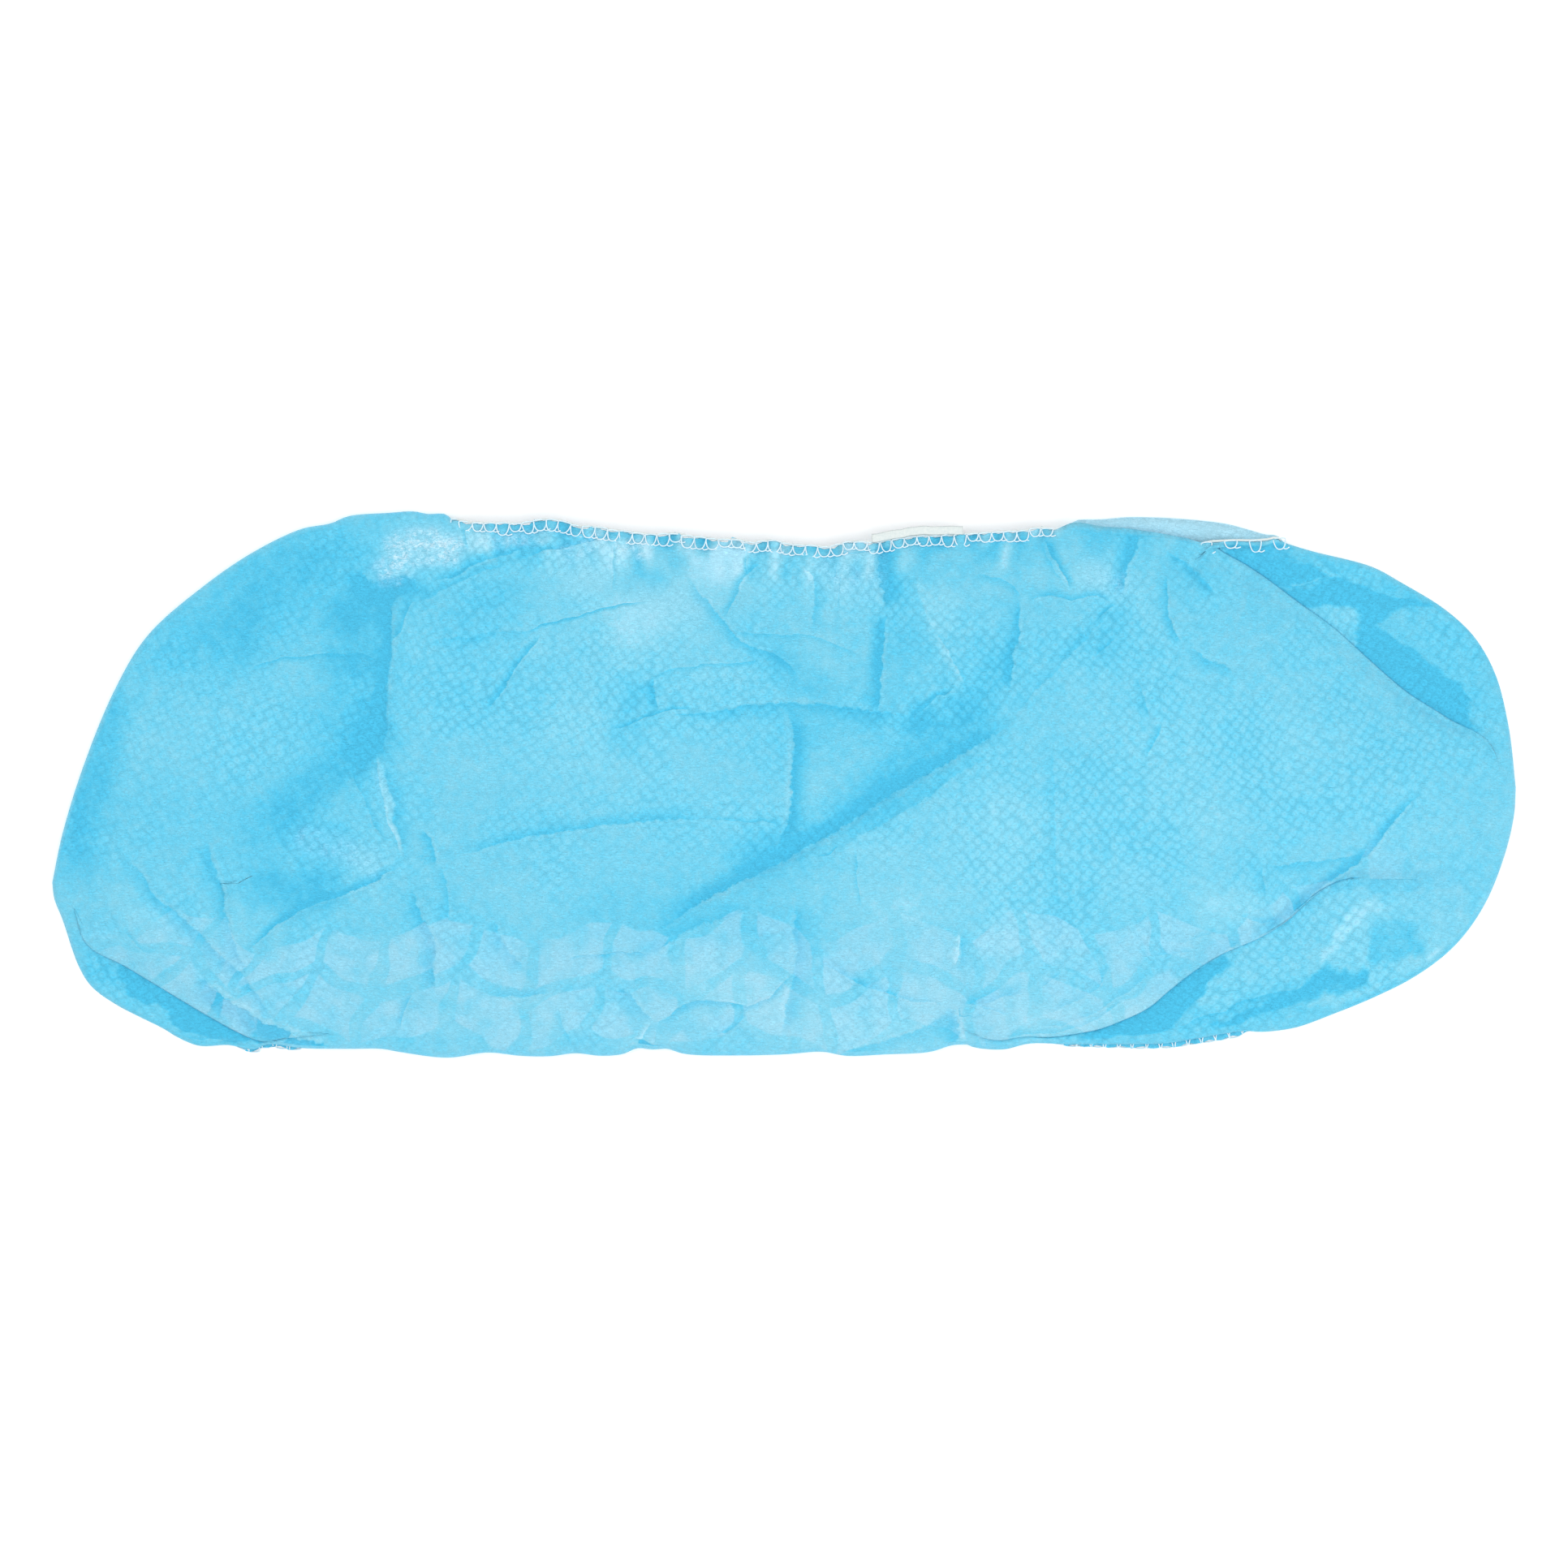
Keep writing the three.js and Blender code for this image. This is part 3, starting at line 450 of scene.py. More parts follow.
# Crinkled places along the mouth where the cloth stands off: partly the milky white of loose
# filaments, partly a painted sheen.
PALE = [
    # line, width, strength
    ([(-108, 58.5), (-103, 60.5)], 4.0, 0.75),
    ([(-106, 64.5), (-99, 66.5), (-90, 65)], 3.6, 0.9),
    ([(-97, 62), (-91, 63)], 3.0, 0.8),
    ([(-84, 66), (-74, 66.6), (-66, 67.6)], 2.6, 0.5),
    ([(-45, 64.6), (-38.5, 63.6)], 2.2, 0.8),
    ([(-59, 63), (-51, 65)], 3.0, 0.45),
    ([(-55, 55), (-50, 58)], 5.0, 0.2),
    ([(-36, 49), (-26, 48)], 5.0, 0.22),
    ([(-16, 57), (-14, 57.6)], 2.4, 0.4),
    ([(12, 58), (22, 60)], 5.0, 0.28),
    ([(16, 54), (23, 53)], 4.0, 0.22),
    ([(-130, -15), (-120, -18), (-112, -22)], 3.6, 0.30),
    ([(-110, 3), (-107, -6)], 1.6, 0.24),
    ([(84, 57), (90, 54)], 4.0, 0.30),
    ([(93, -26), (99, -27)], 4.0, 0.14),
]
# Slack places, where the bond points stand out as puffs.
SLACK = [
    # line, width, strength
    ([(-92, 30), (-70, 26), (-50, 20)], 18, 0.8),
    ([(-100, 62), (-70, 66), (-46, 64)], 7, 1.0),
    ([(8, 60), (24, 52)], 9, 1.0),
    ([(-130, -14), (-112, -20)], 10, 0.8),
    ([(50, 40), (56, 30), (40, 22)], 9, 0.9),
    ([(60, -10), (90, -16), (100, 8)], 24, 0.8),
    ([(140, 8), (160, 0)], 22, 0.7),
    ([(84, 36), (92, 50)], 10, 0.8),
    ([(-20, 24), (-10, 30)], 9, 0.7),
    ([(-150, 20), (-180, 10)], 22, 0.4),
    ([(-10, -8), (8, -14)], 8, 0.6),
    ([(80, -48), (60, -40)], 8, 0.5),
]
CHANNELS = 4  # creases that cross or lie close are kept in different channels
CREASE_LIP = 1.3  # how far a crease reaches on its higher side
CREASE_FALL = 1.6  # how steeply its lower side starts
ROLLING = [
    # size of the lumps, height, seed
    (30, 0.7, 1),
    (14, 0.35, 2),
    (6, 0.22, 3),
    (3.1, 0.12, 5),
]


def beside(line, x, y):
    """For each (x, y): distance to the line, signed so that its left is positive, and the
    share of the line's length at the nearest point."""
    p = smooth_line(line, max(6, 4 * (len(line) - 1))) if len(line) > 2 else np.array(line, float)
    lengths = np.linalg.norm(np.diff(p, axis=0), axis=1)
    starts = np.concatenate([[0], np.cumsum(lengths)])
    best, signed, share = np.full(x.shape, np.inf), np.zeros(x.shape), np.zeros(x.shape)
    for (ax, ay), (bx, by), long, start in zip(p[:-1], p[1:], lengths, starts):
        ux, uy = (bx - ax) / long, (by - ay) / long
        run = (x - ax) * ux + (y - ay) * uy
        over = np.clip(run, 0, long)
        away = np.hypot(x - ax - over * ux, y - ay - over * uy)
        nearer = away < best
        side = np.sign(ux * (y - ay) - uy * (x - ax))
        best = np.where(nearer, away, best)
        signed = np.where(nearer, away * side, signed)
        share = np.where(nearer, (start + over) / starts[-1], share)
    return best, signed, share


def pick_channels(creases):
    """A channel for each crease, so that those in one channel keep as far apart as they can."""
    lines = [smooth_line(row[1], 24) for row in creases]
    chosen = []
    for i, line in enumerate(lines):
        room = [np.inf] * CHANNELS
        for j in range(i):
            apart = np.min(np.hypot(*(line[:, None] - lines[j][None]).transpose(2, 0, 1)))
            room[chosen[j]] = min(room[chosen[j]], apart - creases[j][2] - creases[i][2])
        chosen.append(int(np.argmax(np.minimum(room, 3))))
    return chosen


def inside(corners, x, y, soft):
    """1 inside a patch and 0 outside it, over a soft edge."""
    p = np.array(corners, float)
    crossings, away = np.zeros(x.shape, int), np.full(x.shape, np.inf)
    for (ax, ay), (bx, by) in zip(p, np.roll(p, -1, axis=0)):
        spans = (ay > y) != (by > y)
        slope = (bx - ax) / (by - ay) if by != ay else 0.0
        crossings += spans & (x < ax + (y - ay) * slope)
        long = math.hypot(bx - ax, by - ay)
        over = np.clip(((x - ax) * (bx - ax) + (y - ay) * (by - ay)) / long, 0, long)
        away = np.minimum(
            away, np.hypot(x - ax - over * (bx - ax) / long, y - ay - over * (by - ay) / long)
        )
    signed = np.where(crossings % 2 == 1, away, -away)
    return ease(signed, -soft, soft)


def wander(x, y):
    """A small irregular shift, so that no crease runs quite smoothly."""
    return (
        x + 0.6 * spread_noise(x, y, 5, 11) + 0.3 * spread_noise(x, y, 2, 12),
        y + 0.6 * spread_noise(x, y, 5, 13) + 0.3 * spread_noise(x, y, 2, 14),
    )


def creased(creases, x, y):
    """Height of the creases at (x, y), and for each channel the place across the nearest
    crease, from 0 on its line to 1 where it has faded, and its tone there."""
    height = np.zeros(x.shape)
    across = np.full((CHANNELS, *x.shape), 2.0)
    deep = np.zeros((CHANNELS, *x.shape))
    nearest = np.full((CHANNELS, *x.shape), np.inf)
    wx, wy = wander(x, y)
    for (_, line, spread, drop, tone), channel in zip(creases, pick_channels(creases)):
        reach = 1.3 * spread + 2
        px, py = zip(*line)
        near = (x > min(px) - reach) & (x < max(px) + reach) & (y > min(py) - reach) & (y < max(py) + reach)
        away, signed, share = beside(line, wx[near], wy[near])
        fade = ease(share, 0, 0.2) * (1 - ease(share, 0.8, 1))
        low_side = np.clip(1 - signed / spread, 0, 1) ** CREASE_FALL
        high_side = np.clip(1 + signed / CREASE_LIP, 0, 1)
        step = np.where(signed >= 0, low_side, high_side)
        height[near] -= drop * step * fade
        closer = (away < nearest[channel][near]) & (away < reach)
        rows = nearest[channel][near]
        rows[closer] = away[closer]
        nearest[channel][near] = rows
        toned = tone * fade * (1 - ease(away, spread, reach))
        for kept, value in ((across, signed / spread), (deep, toned)):
            rows = kept[channel][near]
            rows[closer] = value[closer]
            kept[channel][near] = rows
    return height, np.clip(across, -2, 2), deep


def soft_marks(x, y):
    """Height, tone, paleness and slackness that the broad features add at (x, y)."""
    height, tone, pale, slack = (np.zeros(x.shape) for _ in range(4))
    wx, wy = wander(x, y)
    for line, depth, width, colour in SWELLS:
        dome = np.exp(-((beside(line, wx, wy)[0] / width) ** 2))
        height -= depth * dome
        tone += colour * dome
    for line, width, strength in PALE:
        pale += strength * np.exp(-((beside(line, wx, wy)[0] / width) ** 3))
    for line, width, strength in SLACK:
        slack += strength * np.exp(-((beside(line, x, y)[0] / width) ** 2))
    return height, tone, pale, np.clip(slack, 0, 1)


def near_height(x, y, share, edge_height, crown):
    """Height of the near wall at (x, y), and its marks as columns of facts."""
    rise = 1 - (1 - share) ** 2.3
    rolling = sum(height * spread_noise(x, y, size, seed) for size, height, seed in ROLLING)
    height, across, deep = creased(CREASES, x, y)
    soft, tone, pale, slack = soft_marks(x, y)
    held = np.minimum(1, 0.35 + 2.5 * share)
    crinkle = 0.3 * np.clip(pale, 0, 1) * spread_noise(x, y, 1.8, 4)
    marks = np.stack([tone, pale, slack, *across, *deep], axis=1)
    return edge_height + (crown - edge_height) * rise + held * (rolling + height + soft) + crinkle, marks


def under_height(x, y):
    """Height over its base of the layer that shows beyond the pleats, and its marks."""
    height, across, deep = creased(UNDER_CREASES, x, y)
    tone = np.full(x.shape, 0.10)
    wx = x + 0.9 * spread_noise(x, y, 2.6, 15)
    wy = y + 0.9 * spread_noise(x, y, 2.6, 16)
    for corners, colour in PATCHES:
        tone += colour * inside(corners, wx, wy, 0.6)
    slack = 0.35 + 0.5 * ease(spread_noise(x, y, 14, 6), -0.2, 0.6)
    height = height + 0.25 * spread_noise(x, y, 9, 7)
    return height, np.stack([tone, np.zeros(x.shape), slack, *across, *deep], axis=1)


PLAIN = np.zeros((LOOP, 3 + 2 * CHANNELS))
PLAIN[:, 3 : 3 + CHANNELS] = 2
edge_height = FOLD_TOP + (MOUTH_TOP - FOLD_TOP) * open_share + 0.5 * pleat
crown = np.interp(MIDDLE[:, 0] / MIDDLE_SHARE, *zip(*CROWN))
rings = []  # each a loop of (x, y, z), from the far wall's middle to the near wall's
notes = []  # the marks of each ring


def add_ring(xy, z, marks=PLAIN, tone=0.0, pale=0.0):
    rings.append(np.column_stack([xy, np.broadcast_to(z, LOOP)]))
    noted = marks.copy()
    noted[:, 0] += tone
    noted[:, 1] += pale
    notes.append(noted)


# Far wall, from its middle line out to its fold or its open edge.
far_inset = FOLD_IN * (1 - open_share) + 1.0 * open_share * (1 - far_roll)
far_end = OUTER + INWARD * far_inset[:, None]
for ring in range(FAR_RINGS + 1):
    share = ring / FAR_RINGS
    add_ring(MIDDLE + (far_end - MIDDLE) * share, LIE + 0.8 * share * (1 - share))
# The far edge: turned in under the near wall at the heel end of the mouth, cut off elsewhere.
FAR_EDGE = [
    # inset and height where it is rolled in, inset and height where it is cut off
    (0.0, 0.9, 0.15, 0.1),
    (0.25, 2.2, 0.3, 0.15),
    (3.8, 3.0, 0.45, 0.2),
]
for rolled_inset, rolled_z, plain_inset, plain_z in FAR_EDGE:
    rolled = rolled_inset + setback * (rolled_inset > 1)
    inset = far_inset * (1 - far_roll) + far_roll * rolled
    inset = inset + plain_inset * open_share * (1 - far_roll) - 1.6 * plain_inset * (1 - open_share)
    z = LIE + plain_z * (1 - far_roll) + rolled_z * far_roll
    # Where rolled in, the strip is painted paler and whiter: a single layer, with painted light in the near
    # wall's shade.
    add_ring(OUTER + INWARD * inset[:, None], z, tone=-0.5 * far_roll, pale=0.2 * far_roll)
far_ring = len(rings) - 1

# The fold along toe, sole and heel. Along the mouth the same rings start the near wall, which
# is rolled in over its own edge at the heel end.
FOLD = [
    # inset and height of a plain fold, inset and drop where the mouth is rolled in, its inset elsewhere
    (0.9, 0.5, 3.6, 1.7, 0.5),
    (0.15, 1.3, 2.2, 2.4, 0.75),
    (0.0, 2.2, 0.5, 2.0, 1.0),
    (0.5, 3.3, 0.05, 1.0, 1.3),
]
for inset, height, rolled_inset, rolled_drop, mouth_inset in FOLD:
    flat = height * (1 - 0.45 * pleat)
    lip = setback + rolled_inset * near_roll + mouth_inset * (1 - near_roll)
    lift = MOUTH_TOP - rolled_drop * near_roll - 0.1 * (1.3 - mouth_inset)
    xy = OUTER + INWARD * (inset * (1 - open_share) + lip * open_share)[:, None]
    add_ring(xy, flat * (1 - open_share) + (lift - 2.0 * pleat) * open_share, tone=0.1 * (1 - open_share))
near_ring = far_ring + 1
plain_first = len(rings)

# The pleats: the under layer runs in below the upper one, turns back and comes out at its fold.
TUCK = 6.0  # how far the upper layer lies over the turn
UNDER_TOP = 2.2  # height of the under layer at its outer edge
inner_dir = MIDDLE - OUTER
length = np.linalg.norm(inner_dir, axis=1)
inner_dir /= length[:, None]
low_start = OUTER + INWARD * (0.9 + (setback + 0.9) * open_share)[:, None]
PLEAT_SHAPE = []  # share of the way to the upper fold, extra inset, height
for k in range(UNDER_RINGS):
    PLEAT_SHAPE.append(((k + 1) / UNDER_RINGS, 0.0, 0.5 * math.sin(math.pi * (k + 1) / UNDER_RINGS)))
PLEAT_SHAPE += [
    (1, 0.5 * TUCK, 0.0),
    (1, TUCK, 0.0),
    (1, TUCK + 0.2, 0.06),
    (1, 0.5 * TUCK, 0.1),
    (1, 0.5, 0.14),
    (1, 0.0, 0.45),
    (1, 0.35, 0.85),
]
# Along a plain edge the same rings are spread over its first stretch, shorter next to a pleat.
beside_pleat = np.minimum(1, np.array([
    np.min(np.minimum(np.abs(STATION - i), LOOP - np.abs(STATION - i))[pleat > 0.02]) / 30 for i in STATION
]))
reach = 4 + 12 * ease(beside_pleat, 0, 1)
for step, (share, extra, height) in enumerate(PLEAT_SHAPE):
    out = (step + 1) / len(PLEAT_SHAPE)
    plain_xy = low_start + inner_dir * (reach * out)[:, None]
    plain_z, plain_marks = near_height(
        plain_xy[:, 0], plain_xy[:, 1], (reach * out + 0.9) / length, edge_height, crown
    )
    pleat_xy = low_start + (EDGE - low_start) * share + inner_dir * (extra * tucked)[:, None]
    lumps, pleat_marks = under_height(pleat_xy[:, 0], pleat_xy[:, 1])
    base = UNDER_TOP + 0.8 * share + (MOUTH_TOP - 2.0 - UNDER_TOP) * open_share
    pleat_z = base + height * (tucked if step >= UNDER_RINGS else 1)
    pleat_z = pleat_z + lumps * (step < UNDER_RINGS) * (1 - 0.8 * share)
    if step >= UNDER_RINGS + 4:
        pleat_marks = near_height(pleat_xy[:, 0], pleat_xy[:, 1], 0 * length, edge_height, crown)[1]
        # The turn of the fold is painted a deeper blue: its doubled cloth, and painted shade in its
        # crevice.
        pleat_marks[:, 0] += 0.25 * (step < len(PLEAT_SHAPE) - 1)
    mix = pleat[:, None]
    mixed_marks = plain_marks * (1 - mix) + pleat_marks * mix
    nearer_marks = np.where(mix > 0.5, pleat_marks, plain_marks)
    add_ring(
        plain_xy * (1 - mix) + pleat_xy * mix,
        plain_z * (1 - pleat) + pleat_z * pleat,
        np.column_stack([mixed_marks[:, :3], nearer_marks[:, 3:]]),
    )

# The near wall, from the upper edge to the middle line.
start_xy = rings[-1][:, :2].copy()
start_height = rings[-1][:, 2].copy()
start_share = np.clip((reach + 0.9) / length, 0, 1) * (1 - pleat)
start_share = sum(np.roll(start_share, shift) for shift in range(-9, 10)) / 19
for ring in range(1, NEAR_RINGS + 1):
    share = ring / NEAR_RINGS
    xy = start_xy + (MIDDLE - start_xy) * share
    z, marks = near_height(xy[:, 0], xy[:, 1], start_share + (1 - start_share) * share, edge_height, crown)
    join = np.maximum(ease(share, 0, 0.1), ease(beside_pleat, 0.3, 1))
    add_ring(xy, start_height + (z - start_height) * join, marks)

points = np.array(rings)
facts = np.array(notes)

# Gathers: the elastic draws the cloth up in small puffs, strongest at the edge of the mouth,
# and here and there a puff stands out past the elastic.
from_edge = np.linalg.norm(points[near_ring:, :, :2] - OUTER, axis=2)
SMALL_PUFF, LONG_PUFF = 3.9, 9.5  # how long the two kinds are
puffs = np.sin(2 * math.pi * along / SMALL_PUFF + 2.2 * spread_noise(along, along * 0, 13, 31))
long_puffs = np.sin(2 * math.pi * along / LONG_PUFF + 3.0 * spread_noise(along, along * 0, 22, 32))
strength = open_share * (1 - pleat) * (1 - 0.7 * near_roll)
window = 1 - ease(from_edge, 26, 42)
points[near_ring:, :, 2] += strength * window * (
    0.4 * puffs * np.exp(-from_edge / 4.5) + 0.5 * long_puffs * np.exp(-from_edge / 12)
)
crimp = spread_noise(np.tile(along, (len(from_edge), 1)), from_edge / 2.6, 3.2, 34)
# Near the edge the crimped cloth is painted a deeper blue, most in its dips: painted shade.
facts[near_ring:, :, 0] += strength * (1 - ease(from_edge, 4, 17)) * (0.42 * crimp + 0.04)
points[near_ring:, :, 2] -= strength * (1 - ease(from_edge, 4, 17)) * 0.5 * crimp
stand_out = 1.5 * ease(spread_noise(along, along * 0, 4.2, 33), 0.25, 0.8)
for ring, share in ((near_ring, 1.0), (near_ring + 1, 0.8), (near_ring + 2, 0.4)):
    points[ring, :, :2] -= INWARD * (strength * (stand_out + 0.15 * puffs) * share)[:, None]


def mesh_of_rings(points, facts):
    """The closed cloth: outer face, inner face and the rims of the mouth."""
    count = len(points)
    index = np.arange(count * LOOP).reshape(count, LOOP)
    nxt = (STATION + 1) % LOOP
    opened = ON_MOUTH & (AT_X > MOUTH_FROM) & (AT_X <= MOUTH_TO)
    outer = points.reshape(-1, 3)

    def quads(picked, idx):
        faces = []
        for a, b in zip(picked[:-1], picked[1:]):
            block = np.stack([idx[a], idx[a][nxt], idx[b][nxt], idx[b]], axis=1)
            faces.append(block[~opened] if a == far_ring else block)
        return np.concatenate(faces)

    everything = list(range(count))
    outer_faces = quads(everything, index)
    normal = np.zeros_like(outer)
    corner = [outer[outer_faces[:, k]] for k in range(4)]
    face_normal = np.cross(corner[2] - corner[0], corner[3] - corner[1])
    for k in range(4):
        np.add.at(normal, outer_faces[:, k], face_normal)
    for end in (0, count - 1):  # the two halves meet along the middle lines
        twin = index[end][(2 * STEPS - STATION) % LOOP]
        normal[index[end]] = normal[index[end]] + normal[twin]
    normal /= np.maximum(np.linalg.norm(normal, axis=1, keepdims=True), 1e-12)
    inner = outer - CLOTH * normal
    # The inner face is seen only through the mouth, so it keeps fewer rings.
    first = plain_first + len(PLEAT_SHAPE)
    keep = [k for k in everything if k < plain_first or k >= first - 7 or (first - k) % 2 == 0]
    keep = [k for k in keep if k < first or (count - 1 - k) % 4 == 0]
    inner_faces = quads(keep, index + count * LOOP)[:, ::-1]
    rims = []
    for i in np.nonzero(opened)[0]:
        a, b = index[far_ring, i], index[far_ring, nxt[i]]
        c, d = index[near_ring, i], index[near_ring, nxt[i]]
        shift = count * LOOP
        rims += [(a, b, b + shift, a + shift), (d, c, c + shift, d + shift)]
        for here, flip in ((i, False), (nxt[i], True)):
            beyond = nxt[i] if flip else (i - 1) % LOOP
            if not opened[beyond]:
                low, high = index[far_ring, here], index[near_ring, here]
                rim = (low, low + shift, high + shift, high)
                rims.append(rim[::-1] if flip else rim)
    faces = np.concatenate([outer_faces, inner_faces, np.array(rims)])
    return np.concatenate([outer, inner]), faces, np.concatenate([facts.reshape(-1, facts.shape[2])] * 2)


def make_mesh(name, vertices, faces, attributes=None, uvs=None):
    mesh = bpy.data.meshes.new(name)
    mesh.from_pydata((np.asarray(vertices) * MM).tolist(), [], [tuple(face) for face in faces])
    for key, values in (attributes or {}).items():
        mesh.attributes.new(key, "FLOAT", "POINT").data.foreach_set("value", np.asarray(values, np.float32))
    corners = np.zeros(len(mesh.loops), np.int32)
    mesh.loops.foreach_get("vertex_index", corners)
    for key, values in (uvs or {}).items():
        layer = mesh.uv_layers.new(name=key)
        layer.data.foreach_set("uv", np.asarray(values, np.float32)[corners].ravel())
    obj = bpy.data.objects.new(name, mesh)
    bpy.context.scene.collection.objects.link(obj)
    return obj


def close_up(obj, gap=1e-6):
    """Merges doubled points, drops faces with no area and shades the piece smooth."""
    work = bmesh.new()
    work.from_mesh(obj.data)
    bmesh.ops.remove_doubles(work, verts=work.verts, dist=gap)
    bmesh.ops.dissolve_degenerate(work, edges=work.edges, dist=gap)
    loose = [v for v in work.verts if not v.link_faces]
    bmesh.ops.delete(work, geom=loose, context="VERTS")
    work.to_mesh(obj.data)
    work.free()
    obj.data.shade_smooth()


vertices, faces, facts = mesh_of_rings(points, facts)
ring_station = np.tile(along, len(rings))
ring_inset = np.linalg.norm(points[:, :, :2] - OUTER, axis=2).reshape(-1)
# How the cloth's own directions run: along the sole and in from it, and the bond points' rows.
tread_u = np.tile(ring_station, 2)
tread_v = np.tile(ring_inset, 2)
sole_share = ease(STATION, 6, 34) * (1 - ease(STATION, STEPS - 46, STEPS - 10))
sole_shares = np.tile(sole_share, (len(rings), 1))
sole_shares[:plain_first + UNDER_RINGS + 3] *= 1 - ease(pleat, 0.2, 0.8)
on_sole = np.tile(sole_shares.reshape(-1), 2)
# The rows of bond points swing by some degrees between toe and heel, as on a wide arc.
BOND_ARC = 700  # radius of that arc


def on_arc(xy):
    x, y = xy[:, 0], BOND_ARC - xy[:, 1]
    return np.stack([BOND_ARC * np.arctan2(x, y), BOND_ARC - np.hypot(x, y)], axis=1) * MM


cover = make_mesh(
    "nonwoven_cover",
    vertices,
    faces,
    {"tone": facts[:, 0], "pale": facts[:, 1], "slack": facts[:, 2], "sole_side": on_sole}
    | {f"across_{k}": facts[:, 3 + k] for k in range(CHANNELS)}
    | {f"deep_{k}": facts[:, 3 + CHANNELS + k] for k in range(CHANNELS)},
    {
        "tread": np.stack([tread_u, tread_v], axis=1) * MM,
        "cloth": vertices[:, :2] * MM,
        "bonds": on_arc(vertices),
    },
)
close_up(cover)


def srgb(code, alpha=1.0):
    """A hex colour as Blender's linear colour."""
    parts = [int(code[i : i + 2], 16) / 255 for i in (1, 3, 5)]
    return tuple(c / 12.92 if c <= 0.04045 else ((c + 0.055) / 1.055) ** 2.4 for c in parts) + (alpha,)


def add(tree, kind, links=None, **settings):
    """Adds a node. links maps an input to a value or to the socket that feeds it."""
    node = tree.nodes.new(kind)
    for key, value in settings.items():
        setattr(node, key, value)
    for key, value in (links or {}).items():
        if isinstance(value, bpy.types.NodeSocket):
            tree.links.new(value, node.inputs[key])
        else:
            node.inputs[key].default_value = value
    return node


def new_material(name):
    material = bpy.data.materials.new(name)
    material.use_nodes = True
    material.node_tree.nodes.clear()
    return material, material.node_tree


def calc(tree, operation, *values):
    return add(tree, "ShaderNodeMath", dict(enumerate(values)), operation=operation).outputs[0]


# Spunbond polypropylene: a felt of fine filaments welded at small bond points. It looks like
# soft paper: matt, milky where it is single, and a deeper blue where layers lie together.
BOND_PITCH = 2.3  # between bond points, in mm
BOND_TURN = 48  # of their rows, in degrees
FILAMENT = 0.5  # clumps of filaments; single ones are too fine to show
nonwoven, tree = new_material("spunbond_polypropylene")
cloth_at = add(tree, "ShaderNodeUVMap", uv_map="cloth").outputs[0]
tread_at = add(tree, "ShaderNodeUVMap", uv_map="tread").outputs[0]
bonds_at = add(tree, "ShaderNodeUVMap", uv_map="bonds").outputs[0]


def fact(name):
    """A value stored on the cloth's points."""
    return add(tree, "ShaderNodeAttribute", attribute_name=name).outputs["Fac"]


def noise(at, size, detail, roughness=0.5, **more):
    """Noise with lumps of the given size in mm, around 0."""
    links = {"Vector": at, "Scale": 1 / (size * MM), "Detail": detail, "Roughness": roughness, **more}
    made = add(tree, "ShaderNodeTexNoise", links, noise_dimensions="2D")
    return calc(tree, "SUBTRACT", made.outputs["Fac"], 0.5)


def fade(value, start, stop, low=0.0, high=1.0):
    """Goes smoothly from low to high while value goes from start to stop."""
    links = {"Value": value, "From Min": start, "From Max": stop, "To Min": low, "To Max": high}
    return add(tree, "ShaderNodeMapRange", links, interpolation_type="SMOOTHSTEP").outputs[0]


def plus(*values):
    total = values[0]
    for value in values[1:]:
        total = calc(tree, "ADD", total, value)
    return total


def times(*values):
    product = values[0]
    for value in values[1:]:
        product = calc(tree, "MULTIPLY", product, value)
    return product


patchy = noise(cloth_at, 24, 2.0)
mottle = noise(cloth_at, 3.4, 5.0, 0.62)
ragged = noise(cloth_at, 1.6, 2.0)
fibre_at = add(
    tree, "ShaderNodeMapping", {"Vector": cloth_at, "Rotation": (0, 0, 0.3), "Scale": (1, 2.4, 1)}
).outputs[0]
fibres = noise(fibre_at, FILAMENT * 2, 4.0, 0.7, Distortion=1.0)

# Each crease is sharp along its line and fades away on its deeper side as painted shade, with a
# thin painted highlight along its crest.
CREST = 0.16  # of a crease's spread
creases = 0.0
for channel in range(CHANNELS):
    across = plus(fact(f"across_{channel}"), times(ragged, 0.3))
    clamped = add(tree, "ShaderNodeClamp", {0: across}).outputs[0]
    fading = calc(tree, "POWER", calc(tree, "SUBTRACT", 1.0, clamped), 1.3)
    from_crest = calc(tree, "ABSOLUTE", plus(across, CREST))
    crest = add(
        tree, "ShaderNodeMapRange",
        {"Value": from_crest, "From Min": 0.0, "From Max": CREST, "To Min": 0.18, "To Max": 0.0},
    ).outputs[0]
    profile = calc(tree, "SUBTRACT", times(fade(across, -0.06, 0.07), fading), crest)
    creases = plus(times(profile, fact(f"deep_{channel}")), creases)

# Bond points: a square lattice, a little out of true, of puffs between sunken welds.
WARP_SIZE, WARP = 26, 5  # how the rows swerve, in mm
warp = add(
    tree, "ShaderNodeTexNoise", {"Vector": cloth_at, "Scale": 1 / (WARP_SIZE * MM), "Detail": 1.0},
    noise_dimensions="2D",
)
shift = add(
    tree, "ShaderNodeVectorMath", {0: warp.outputs["Color"], 1: (WARP * MM, WARP * MM, 0)},
    operation="MULTIPLY",
)
warped = add(tree, "ShaderNodeVectorMath", {0: bonds_at, 1: shift.outputs[0]}, operation="ADD").outputs[0]
turned = add(
    tree, "ShaderNodeMapping", {"Vector": warped, "Rotation": (0, 0, math.radians(BOND_TURN))}
).outputs[0]
bonds = add(
    tree, "ShaderNodeTexVoronoi", {"Vector": turned, "Scale": 1 / (BOND_PITCH * MM), "Randomness": 0.4},
    voronoi_dimensions="2D", feature="F1",
).outputs["Distance"]
slack = calc(tree, "MINIMUM", plus(times(fact("slack"), 0.8), fade(patchy, -0.06, 0.16, 0.12, 0.6)), 1.0)
